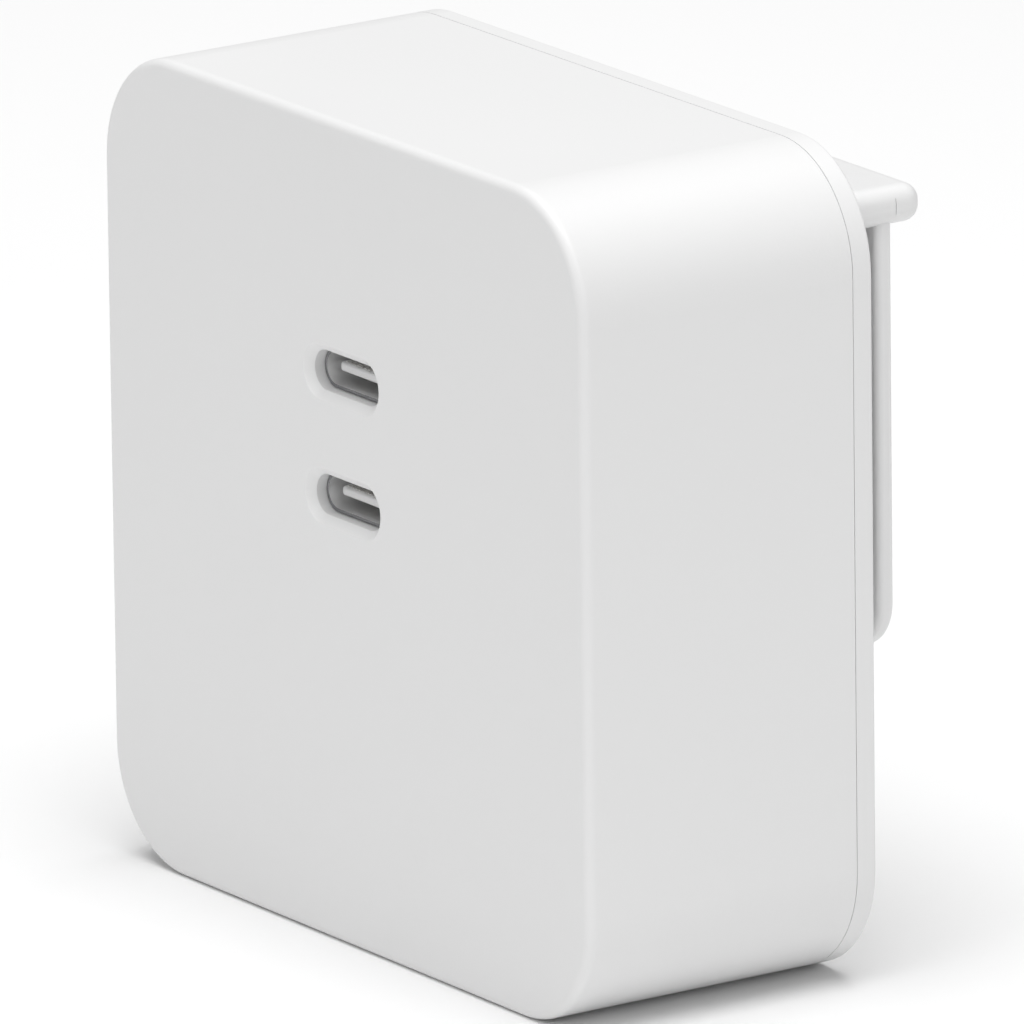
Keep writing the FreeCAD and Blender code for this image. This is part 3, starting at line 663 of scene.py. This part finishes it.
class Bench:
    """The operations of a modelling bench, each one on a single piece."""

    TURN = {"X": (0.0, math.pi / 2, 0.0), "Y": (math.pi / 2, 0.0, 0.0), "Z": (0.0, 0.0, 0.0)}

    @staticmethod
    def clear() -> None:
        """Deselects everything."""
        bpy.ops.object.select_all(action="DESELECT")

    @classmethod
    def hold(cls, piece: bpy.types.Object) -> None:
        """Selects one piece alone and makes it active."""
        cls.clear()
        piece.select_set(True)
        bpy.context.view_layer.objects.active = piece

    @classmethod
    def settle(cls, name: str) -> bpy.types.Object:
        """Names the new primitive and moves its place into its mesh.

        Args:
            name: The piece's name.

        Returns:
            The piece.
        """
        piece = bpy.context.active_object
        piece.name = name
        piece.data.name = name
        cls.hold(piece)
        bpy.ops.object.transform_apply(location=True, rotation=True, scale=True)
        return piece

    @classmethod
    def block(cls, name: str, low: Vector, high: Vector) -> bpy.types.Object:
        """A box between two corners."""
        cls.clear()
        bpy.ops.mesh.primitive_cube_add(size=1.0, location=(low + high) / 2)
        bpy.context.active_object.scale = high - low
        return cls.settle(name)

    @classmethod
    def rod(
        cls, name: str, middle: Vector, axis: str, radius: float, length: float, sides: int = 48
    ) -> bpy.types.Object:
        """A cylinder along an axis, with a flat, not a corner, on top.

        Args:
            name: The piece's name.
            middle: Its middle.
            axis: X, Y or Z.
            radius: Its radius.
            length: Its length.
            sides: How many sides it has.

        Returns:
            The piece.
        """
        cls.clear()
        bpy.ops.mesh.primitive_cylinder_add(vertices=sides, radius=radius, depth=length, location=middle)
        rod = bpy.context.active_object
        rod.data.transform(Matrix.Rotation(math.pi / sides, 4, "Z"))
        rod.rotation_euler = cls.TURN[axis]
        return cls.settle(name)

    @classmethod
    def loop(
        cls, name: str, middle: Vector, axis: str, radius: float, wire: float, sides: int = 24
    ) -> bpy.types.Object:
        """A ring of wire around an axis, where wire is the wire's radius."""
        cls.clear()
        bpy.ops.mesh.primitive_torus_add(
            location=middle,
            rotation=cls.TURN[axis],
            major_segments=sides,
            minor_segments=8,
            major_radius=radius,
            minor_radius=wire,
        )
        return cls.settle(name)

    @classmethod
    def stadium(
        cls, name: str, middle: Vector, width: float, height: float, depth: float, sides: int = 64
    ) -> bpy.types.Object:
        """A solid along Y with two straight and two round sides.

        Args:
            name: The piece's name.
            middle: Its middle.
            width: Its size along X.
            height: Its size along Z.
            depth: Its size along Y.
            sides: How many sides its round ends have together.

        Returns:
            The piece.
        """
        piece = cls.rod(name, middle, "Y", height / 2, depth, sides)
        spread = (width - height) / 2
        with Editing(piece, Pick.VERT) as edit:
            for side in (-1, 1):
                edit.pick(lambda place, normal: (place.x - middle.x) * side > 0)
                bpy.ops.transform.translate(value=(side * spread, 0.0, 0.0))
        return piece

    @classmethod
    def round_edges(
        cls, piece: bpy.types.Object, radius: float, segments: int = 3, angle: float = 35.0
    ) -> None:
        """Rounds every sharp edge of a piece with an applied Bevel.

        Args:
            piece: The piece.
            radius: The rounding's width.
            segments: How many faces it has.
            angle: Edges sharper than this many degrees are rounded.
        """
        cls.hold(piece)
        bevel = piece.modifiers.new("edge", "BEVEL")
        bevel.width = radius
        bevel.segments = segments
        bevel.limit_method = "ANGLE"
        bevel.angle_limit = math.radians(angle)
        bevel.use_clamp_overlap = True
        bpy.ops.object.modifier_apply(modifier=bevel.name)

    @classmethod
    def cut(cls, piece: bpy.types.Object, cutter: bpy.types.Object) -> None:
        """Cuts one piece out of another and throws the cutter away."""
        cls.hold(piece)
        boolean = piece.modifiers.new("cut", "BOOLEAN")
        boolean.operation = "DIFFERENCE"
        boolean.solver = "EXACT"
        boolean.object = cutter
        bpy.ops.object.modifier_apply(modifier=boolean.name)
        bpy.data.objects.remove(cutter)

    @classmethod
    def join(cls, name: str, pieces: list[bpy.types.Object]) -> bpy.types.Object:
        """Joins several pieces into one.

        Args:
            name: The joined piece's name.
            pieces: What it is made of.

        Returns:
            The piece.
        """
        cls.clear()
        for piece in pieces:
            piece.select_set(True)
        bpy.context.view_layer.objects.active = pieces[0]
        bpy.ops.object.join()
        whole = bpy.context.active_object
        whole.name = name
        whole.data.name = name
        return whole

    @classmethod
    def copy(cls, piece: bpy.types.Object, move: Matrix) -> bpy.types.Object:
        """A copy of a piece with its own mesh, moved to a new place."""
        twin = piece.copy()
        twin.data = piece.data.copy()
        twin.data.transform(move)
        bpy.context.collection.objects.link(twin)
        return twin

    @classmethod
    def smooth(cls, piece: bpy.types.Object, angle: float = 40.0) -> None:
        """Turns the faces outwards and shades them smooth up to an angle."""
        with Editing(piece, Pick.FACE):
            bpy.ops.mesh.select_all(action="SELECT")
            bpy.ops.mesh.remove_doubles(threshold=MERGE_DISTANCE)
            bpy.ops.mesh.normals_make_consistent(inside=False)
        cls.hold(piece)
        bpy.ops.object.shade_smooth_by_angle(angle=math.radians(angle))


@dataclass
class SubAssembly:
    """Pieces that belong together and ride on one body."""

    wardrobe: Wardrobe
    body: ClassVar[str] = BODY_CASE

    def seat(self, piece: bpy.types.Object, look: Look, slot: str, *nodes: str) -> None:
        """Finishes a piece: smooth, dressed, riding on its body and standing for its nodes.

        Args:
            piece: The piece.
            look: Its finish.
            slot: The record's material slot; not used.
            nodes: CAD nodes that it stands for.
        """
        Bench.smooth(piece)
        self.wardrobe.dress(piece, look)
        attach(piece, self.body)
        if nodes:
            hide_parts(*nodes)
        log.info("%s: %d faces, rides on %s", piece.name, len(piece.data.polygons), self.body)


# ---- ports
@dataclass
class UsbPorts(SubAssembly):
    """Both receptacles: drawn shells, moulded tongues and side latches."""

    wall: float = 0.25 * MILLIMETRE
    rim: float = 0.05 * MILLIMETRE
    tongue_width: float = 6.69 * MILLIMETRE
    tongue_thickness: float = 0.7 * MILLIMETRE
    nose: float = 0.22 * MILLIMETRE
    base_length: float = 2.2 * MILLIMETRE
    base_clearance: float = 0.01 * MILLIMETRE
    latch_width: float = 0.45 * MILLIMETRE
    latch_thickness: float = 0.3 * MILLIMETRE
    latch_setback: float = 1.3 * MILLIMETRE

    def build(self) -> None:
        """Models each port's pieces."""
        for place in ("upper", "lower"):
            self.shell(place)
            self.tongue(place)
            self.latches(place)

    def shell(self, place: str) -> None:
        """The metal shell: a rounded tube with rolled lips."""
        node = "port_shell_" + place
        box = Box.of(node)
        piece = Bench.stadium("drawn_shell_" + place, box.middle, box.size.x, box.size.z, box.size.y)
        with Editing(piece, Pick.FACE) as edit:
            edit.pick(lambda place, normal: abs(normal.y) > NEARLY_ALONG)
            bpy.ops.mesh.inset(thickness=self.wall, depth=0.0)
            bpy.ops.mesh.bridge_edge_loops()
        Bench.round_edges(piece, self.rim, segments=4, angle=50.0)
        self.seat(piece, Look.PORT_STEEL, "port_steel", node)

    def tongue(self, place: str) -> None:
        """The insulator: an oval base and a tongue with a rounded nose."""
        node = "port_insulator_" + place
        box = Box.of(node)
        shell = Box.of("port_shell_" + place)
        clearance = 2 * (self.wall + self.base_clearance)
        base_middle = Vector((box.middle.x, shell.high.y - self.base_length / 2, box.middle.z))
        width = shell.size.x - clearance
        height = shell.size.z - clearance
        base = Bench.stadium("tongue_base", base_middle, width, height, self.base_length)
        half = Vector((self.tongue_width / 2, 0.0, self.tongue_thickness / 2))
        low = Vector((box.middle.x, box.low.y, box.middle.z)) - half
        high = Vector((box.middle.x, base_middle.y, box.middle.z)) + half
        blade = Bench.block("tongue_blade", low, high)
        with Editing(blade, Pick.EDGE) as edit:
            edit.pick(lambda place, line: place.y < low.y + TOUCHING and abs(line.z) > NEARLY_ALONG)
            bpy.ops.mesh.bevel(offset=2 * self.nose, segments=6)
        Bench.round_edges(blade, self.nose, segments=4)
        piece = Bench.join("moulded_tongue_" + place, [base, blade])
        self.seat(piece, Look.PORT_PLASTIC, "port_plastic", node)

    def latches(self, place: str) -> None:
        """The steel latch edges that show at both sides of the tongue."""
        box = Box.of("port_insulator_" + place)
        start_y = box.low.y + self.latch_setback
        end_y = box.high.y - self.base_length
        pieces = []
        for side in (-1, 1):
            edge_x = box.middle.x + side * self.tongue_width / 2
            reach = self.latch_width / 2
            low = Vector((edge_x - reach, start_y, box.middle.z - self.latch_thickness / 2))
            high = Vector((edge_x + reach, end_y, box.middle.z + self.latch_thickness / 2))
            piece = Bench.block("latch", low, high)
            Bench.round_edges(piece, self.latch_thickness / 4, segments=2)
            pieces.append(piece)
        self.seat(Bench.join("latch_plate_" + place, pieces), Look.PORT_STEEL, "port_steel")


# ---- blades
@dataclass
class FoldingBlades(SubAssembly):
    """The two mains blades, coined along their edges."""

    body: ClassVar[str] = BODY_BLADES
    coin: float = 0.16 * MILLIMETRE
    tip_length: float = 0.4 * MILLIMETRE
    tip_taper: float = 0.82
    hole_radius: float = 1.6 * MILLIMETRE
    hole_from_tip: float = 4.4 * MILLIMETRE
    corner: float = 0.9 * MILLIMETRE

    def build(self) -> None:
        """Models both blades."""
        for side in ("left", "right"):
            self.blade(side)

    def blade(self, side: str) -> None:
        """One blade: round root, tapered tip, hole and coined edges."""
        node = "blade_" + side
        box = Box.of(node)
        root_radius = box.size.y / 2 - TOUCHING
        piece = Bench.block("coined_blade_" + side, box.low, box.high)
        with Editing(piece, Pick.EDGE) as edit:
            edit.pick(lambda place, line: abs(line.x) > NEARLY_ALONG and place.z > box.high.z - TOUCHING)
            bpy.ops.mesh.bevel(offset=root_radius, segments=16)
            edit.pick(lambda place, line: abs(line.x) > NEARLY_ALONG and place.z < box.low.z + TOUCHING)
            bpy.ops.mesh.bevel(offset=self.corner, segments=5)
        hole_place = Vector((box.middle.x, box.middle.y, box.low.z + self.hole_from_tip))
        through = 4 * box.size.x
        Bench.cut(piece, Bench.rod("hole", hole_place, "X", self.hole_radius, through, 40))
        pin = Box.of("blade_pivot_pin")
        pin_place = Vector((box.middle.x, pin.middle.y, pin.middle.z))
        Bench.cut(piece, Bench.rod("bore", pin_place, "X", pin.size.z / 2, through, 32))
        Bench.round_edges(piece, self.coin, segments=2, angle=60.0)
        self.taper_tip(piece, box)
        self.seat(piece, Look.NICKEL, "blade_nickel", node)

    def taper_tip(self, piece: bpy.types.Object, box: Box) -> None:
        """Thins a blade's tip evenly about its middle plane."""
        reach = box.low.z + self.tip_length
        with Editing(piece, Pick.VERT) as edit:
            edit.pick(lambda place, normal: place.z < reach)
            bpy.ops.transform.resize(value=(self.tip_taper, 1.0, 1.0), center_override=box.middle)


# ---- power stage
@dataclass
class PowerStage(SubAssembly):
    """Capacitors, choke and inductor of the mains side."""

    groove_depth: float = 0.35 * MILLIMETRE
    groove_width: float = 0.9 * MILLIMETRE
    groove_from_end: float = 1.6 * MILLIMETRE
    rim: float = 0.45 * MILLIMETRE
    sleeve_lip: float = 0.7 * MILLIMETRE
    vent_depth: float = 0.18 * MILLIMETRE
    choke_bore_share: float = 0.5
    choke_wire: float = 0.42 * MILLIMETRE
    choke_turns_a_side: int = 9
    choke_spread: float = math.radians(128)
    inductor_turns_a_layer: int = 4

    def build(self) -> None:
        """Models each wound or canned part."""
        for number in (1, 2):
            self.capacitor("bulk_capacitor_%d" % number, "Z", Look.SLEEVE, "capacitor_sleeve")
        for number in (1, 2, 3):
            self.capacitor("output_capacitor_%d" % number, "Y", Look.CAN, "capacitor_can")
        self.choke_turns()
        self.inductor_turns()

    def capacitor(self, node: str, axis: str, look: Look, slot: str) -> None:
        """A can with a crimped groove, rolled rims and a scored vent.

        Args:
            node: The CAD node that it stands for.
            axis: The can's axis.
            look: Its finish.
            slot: The record's material slot.
        """
        box = Box.of(node)
        index = "XYZ".index(axis)
        radius = box.size.x / 2
        normal = Vector([float(axis == name) for name in "XYZ"])
        piece = Bench.rod("wrapped_" + node, box.middle, axis, radius, box.size[index])
        if axis == "Z":
            crimp = box.low[index] + self.groove_from_end
        else:
            crimp = box.high[index] - self.groove_from_end
        centre = box.middle.copy()
        centre[index] = crimp
        with Editing(piece, Pick.VERT) as edit:
            for step in (-1, 0, 1):
                bpy.ops.mesh.select_all(action="SELECT")
                place = centre + normal * (step * self.groove_width / 2)
                bpy.ops.mesh.bisect(plane_co=place, plane_no=normal)
            edit.pick(lambda place, line: abs(place[index] - crimp) < self.groove_width / 4)
            pinch = 1 - self.groove_depth / radius
            squeeze = [1.0 if axis == name else pinch for name in "XYZ"]
            bpy.ops.transform.resize(value=squeeze, center_override=centre)
        with Editing(piece, Pick.FACE) as edit:
            edit.pick(
                lambda place, line: abs(line[index]) > NEARLY_ALONG
                and abs(place[index] - crimp) > self.groove_width
            )
            bpy.ops.mesh.inset(thickness=self.sleeve_lip, depth=0.0, use_individual=True)
            depth = -self.vent_depth
            bpy.ops.mesh.inset(thickness=self.vent_depth, depth=depth, use_individual=True)
        Bench.round_edges(piece, self.rim / 2, angle=60.0)
        self.seat(piece, look, slot, node)

    def choke_turns(self) -> None:
        """Two windings of thick wire around the choke's ring."""
        core = Box.of("choke_core")
        outer = core.size.x / 2
        bore = outer * self.choke_bore_share
        middle_radius = (outer + bore) / 2
        radial = (outer - bore) / 2 + self.choke_wire
        axial = core.size.y / 2 + self.choke_wire
        pieces = []
        for side in (0.0, math.pi):
            for turn in range(self.choke_turns_a_side):
                share = turn / (self.choke_turns_a_side - 1) - 0.5
                angle = side + share * self.choke_spread
                pieces.append(self.turn_at(core.middle, middle_radius, radial, axial, angle))
        self.seat(Bench.join("wire_turns", pieces), Look.COPPER, "copper_wire", "choke_windings")

    def turn_at(
        self, middle: Vector, radius: float, radial: float, axial: float, angle: float
    ) -> bpy.types.Object:
        """One oval turn of wire around the ring.

        Args:
            middle: The ring's middle.
            radius: Where the ring's section lies.
            radial: Half the turn's size across the section.
            axial: Half the turn's size along the ring's axis.
            angle: The turn's place around the ring.

        Returns:
            The turn.
        """
        turn = Bench.loop("turn", Vector((0.0, 0.0, 0.0)), "Z", radial, self.choke_wire)
        turn.data.transform(Matrix.Diagonal((1.0, axial / radial, 1.0, 1.0)))
        place = Matrix.Translation(middle) @ Matrix.Rotation(angle, 4, "Y")
        turn.data.transform(place @ Matrix.Translation((radius, 0.0, 0.0)))
        return turn

    def inductor_turns(self) -> None:
        """Two layers of round wire between the drum's flanges."""
        box = Box.of("output_inductor_winding")
        wire = box.size.y / (2 * self.inductor_turns_a_layer)
        pieces = []
        for layer in (1, 3):
            for turn in range(self.inductor_turns_a_layer):
                place = box.middle.copy()
                place.y = box.low.y + wire * (2 * turn + 1)
                pieces.append(Bench.loop("turn", place, "Y", box.size.x / 2 - layer * wire, wire, 40))
        piece = Bench.join("inductor_turns", pieces)
        self.seat(piece, Look.COPPER, "copper_wire", "output_inductor_winding")


# ---- boards
@dataclass
class BoardParts(SubAssembly):
    """Resistors, chip legs and solder on the back of the main board."""

    first_x: float = -11.0 * MILLIMETRE
    first_height: float = 50.0 * MILLIMETRE
    length: float = 1.6 * MILLIMETRE
    width: float = 0.8 * MILLIMETRE
    height: float = 0.45 * MILLIMETRE
    end: float = 0.3 * MILLIMETRE
    pitch_x: float = 3.1 * MILLIMETRE
    pitch_z: float = 2.2 * MILLIMETRE
    columns: int = 8
    rows: int = 3
    leg_width: float = 0.4 * MILLIMETRE
    leg_pitch: float = 1.0 * MILLIMETRE
    leg_reach: float = 0.7 * MILLIMETRE
    leg_thickness: float = 0.18 * MILLIMETRE

    def build(self) -> None:
        """Models the small parts."""
        self.small_parts()
        for node in ("controller_chip", "sync_rectifier_chip"):
            self.legs(node)

    def small_parts(self) -> None:
        """A field of chip resistors with soldered ends."""
        board = Box.of("main_board")
        start = Vector((self.first_x, board.high.y, board.low.z + self.first_height))
        half = Vector((self.length / 2, 0.0, self.width / 2))
        body = Bench.block("resistor", start - half, start + half + Vector((0.0, self.height, 0.0)))
        overlap = self.end / 6
        Bench.round_edges(body, overlap, segments=1)
        cap_half = Vector((self.end / 2, 0.0, self.width / 2 + overlap))
        top = Vector((0.0, self.height + overlap, 0.0))
        caps = []
        for side in (-1, 1):
            spot = start + Vector((side * self.length / 2, 0.0, 0.0))
            cap = Bench.block("solder_end", spot - cap_half, spot + cap_half + top)
            Bench.round_edges(cap, self.end / 4, segments=2)
            caps.append(cap)
        ends = Bench.join("solder_end", caps)
        self.spread(body, "chip_resistors", Look.CERAMIC, "black_plastic")
        self.spread(ends, "resistor_solder", Look.SOLDER, "spring_steel")

    def spread(self, first: bpy.types.Object, name: str, look: Look, slot: str) -> None:
        """Copies a part over a grid of columns and rows and joins the copies."""
        pieces = [first]
        for column in range(self.columns):
            for row in range(self.rows):
                if column or row:
                    move = Matrix.Translation((column * self.pitch_x, 0.0, row * self.pitch_z))
                    pieces.append(Bench.copy(first, move))
        self.seat(Bench.join(name, pieces), look, slot)

    def legs(self, node: str) -> None:
        """Two rows of bent legs along a chip's sides."""
        box = Box.of(node)
        count = int(box.size.z / self.leg_pitch)
        pieces = []
        for side in (-1, 1):
            edge_x = box.middle.x + side * box.size.x / 2
            for number in range(count):
                z = box.middle.z + (number - (count - 1) / 2) * self.leg_pitch
                pieces.append(self.leg(edge_x, side, box, z))
        self.seat(Bench.join("legs_of_" + node, pieces), Look.SOLDER, "spring_steel")

    def leg(self, edge_x: float, side: int, box: Box, z: float) -> bpy.types.Object:
        """One leg: out of the chip's side, down, and along the board."""
        half = self.leg_width / 2
        far_x = edge_x + side * self.leg_reach / 2
        low = Vector((min(edge_x, far_x), box.middle.y - self.leg_thickness / 2, z - half))
        high = Vector((max(edge_x, far_x), box.middle.y + self.leg_thickness / 2, z + half))
        leg = Bench.block("leg", low, high)
        foot_y = box.low.y + self.leg_thickness
        with Editing(leg, Pick.FACE) as edit:
            edit.pick(lambda place, normal: normal.x * side > NEARLY_ALONG)
            drop = (side * self.leg_thickness, foot_y - high.y, 0.0)
            bpy.ops.mesh.extrude_region_move(TRANSFORM_OT_translate={"value": drop})
            slide = (side * self.leg_reach / 2, 0.0, 0.0)
            bpy.ops.mesh.extrude_region_move(TRANSFORM_OT_translate={"value": slide})
        return leg


# ---- carried-over pieces
class CarriedPieces:
    """The CAD nodes whose own shape shows, with their finishes."""

    LOOKS = {
        Look.CASE: ("housing", "back_cover"),
        Look.HEAD: ("plug_head_base", "plug_head_cover"),
        Look.ROTOR: ("blade_rotor",),
        Look.PORT_STEEL: ("port_shell_upper", "port_shell_lower"),
        Look.PORT_PLASTIC: ("port_insulator_upper", "port_insulator_lower"),
        Look.GOLD: ("port_contacts_upper", "port_contacts_lower", "board_link_pins"),
        Look.BOARD: ("main_board", "port_board"),
        Look.CHIP: (
            "board_link_header",
            "usb_controller_chips",
            "transformer_bobbin",
            "fuse",
            "bridge_rectifier",
            "switch_transistor",
            "controller_chip",
            "sync_rectifier_chip",
        ),
        Look.FERRITE: ("transformer_core", "choke_core", "output_inductor_core"),
        Look.TAPE: ("transformer_winding",),
        Look.COPPER: ("choke_windings", "output_inductor_winding"),
        Look.SLEEVE: ("bulk_capacitor_1", "bulk_capacitor_2"),
        Look.CAN: ("output_capacitor_1", "output_capacitor_2", "output_capacitor_3"),
        Look.YELLOW_BOX: ("x_capacitor",),
        Look.BLUE_DISC: ("y_capacitor",),
        Look.PLATE: ("front_heat_spreader", "rear_heat_spreader"),
        Look.FILM: ("front_insulation_sheet", "insulation_barrier"),
        Look.PAD: ("thermal_pad",),
        Look.BRASS: ("mains_stud_live", "mains_stud_neutral", "head_contact_live", "head_contact_neutral"),
        Look.SPRING: ("dock_detent_spring", "blade_detent_spring", "blade_pivot_pin"),
        Look.NICKEL: ("blade_left", "blade_right"),
    }

    def __init__(self, wardrobe: Wardrobe) -> None:
        """Takes the finishes to dress with."""
        self.wardrobe = wardrobe

    def dress(self) -> None:
        """Gives every CAD node its finish."""
        for look, names in self.LOOKS.items():
            for name in names:
                self.wardrobe.dress(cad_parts[name], look)
                log.info("%s: %s", name, look.name.lower())


# ---- studio
@dataclass(frozen=True)
class Lamp:
    """A square soft lamp: where it hangs, its side and its power in watts."""

    name: str
    place: tuple[float, float, float]
    side: float
    power: float


@dataclass
class Studio:
    """A pale floor, soft lamps and the camera."""

    LAMPS = (
        Lamp("overhead", (0.12, -0.06, 1.3), side=1.2, power=17.8),
        Lamp("right_fill", (1.6, -0.3, 0.6), side=1.2, power=3.9),
        Lamp("front_fill", (0.2, -1.6, 0.9), side=1.0, power=3.5),
    )

    azimuth: float = math.radians(55.83)
    elevation: float = math.radians(15.5)
    roll: float = math.radians(-0.69)
    distance: float = 1.62
    lens: float = 747.4
    sensor: float = 36.0
    target: tuple[float, float, float] = (0.00339, 0.0, 0.03301)
    reach: float = 20.0
    floor_size: float = 6.0
    floor_cloud: float = 0.4
    floor_roughness: float = 0.9
    ambient: float = 0.28

    def build(self) -> None:
        """Makes the floor, the light and the camera."""
        self.floor()
        self.daylight()
        for lamp in self.LAMPS:
            self.hang(lamp)
        self.camera()
        bpy.context.scene.view_settings.view_transform = "Standard"

    def floor(self) -> None:
        """A wide, plain, pale floor under the charger."""
        Bench.clear()
        bpy.ops.mesh.primitive_plane_add(size=self.floor_size, location=(0.0, 0.0, 0.0))
        floor = Bench.settle("floor")
        sheet = ShaderSheet("floor_white")
        clouds = sheet.noise(self.floor_cloud, 1.0)
        tone = sheet.blend(clouds, (0.9, 0.9, 0.9, 1.0), (0.92, 0.92, 0.92, 1.0))
        floor.data.materials.append(sheet.finish(Base_Color=tone, Roughness=self.floor_roughness))

    def daylight(self) -> None:
        """Even light from all round."""
        world = bpy.data.worlds.new("studio_white")
        world.use_nodes = True
        background = world.node_tree.nodes["Background"]
        background.inputs["Color"].default_value = (1.0, 1.0, 1.0, 1.0)
        background.inputs["Strength"].default_value = self.ambient
        bpy.context.scene.world = world

    def hang(self, lamp: Lamp) -> None:
        """Hangs a lamp aimed at the charger.

        Args:
            lamp: The lamp.
        """
        data = bpy.data.lights.new(lamp.name, "AREA")
        data.size = lamp.side
        data.energy = lamp.power
        light = bpy.data.objects.new(lamp.name, data)
        aim = Vector(self.target) - Vector(lamp.place)
        turn = aim.to_track_quat("-Z", "Y").to_matrix().to_4x4()
        light.matrix_world = Matrix.Translation(lamp.place) @ turn
        bpy.context.collection.objects.link(light)

    def camera(self) -> None:
        """A long lens that looks down a little on the charger's front and right side."""
        level = math.cos(self.elevation)
        rise = math.sin(self.elevation)
        sideways = math.sin(self.azimuth)
        ahead = math.cos(self.azimuth)
        back = Vector((sideways * level, -ahead * level, rise))
        right = Vector((ahead, sideways, 0.0))
        up = back.cross(right)
        turned_right = right * math.cos(self.roll) + up * math.sin(self.roll)
        turned_up = up * math.cos(self.roll) - right * math.sin(self.roll)
        data = bpy.data.cameras.new("camera")
        data.lens = self.lens
        data.sensor_width = self.sensor
        data.clip_end = self.reach
        camera = bpy.data.objects.new("camera", data)
        place = Vector(self.target) + back * self.distance
        axes = Matrix((turned_right, turned_up, back)).transposed().to_4x4()
        camera.matrix_world = Matrix.Translation(place) @ axes
        bpy.context.collection.objects.link(camera)
        bpy.context.scene.camera = camera


def main() -> None:
    """Builds the charger's looks around its frame."""
    logging.basicConfig(level=logging.INFO, format="%(message)s")
    wardrobe = Wardrobe()
    Studio().build()
    CarriedPieces(wardrobe).dress()
    for assembly in (UsbPorts, FoldingBlades, PowerStage, BoardParts):
        assembly(wardrobe).build()


if __name__ == "__main__":
    main()
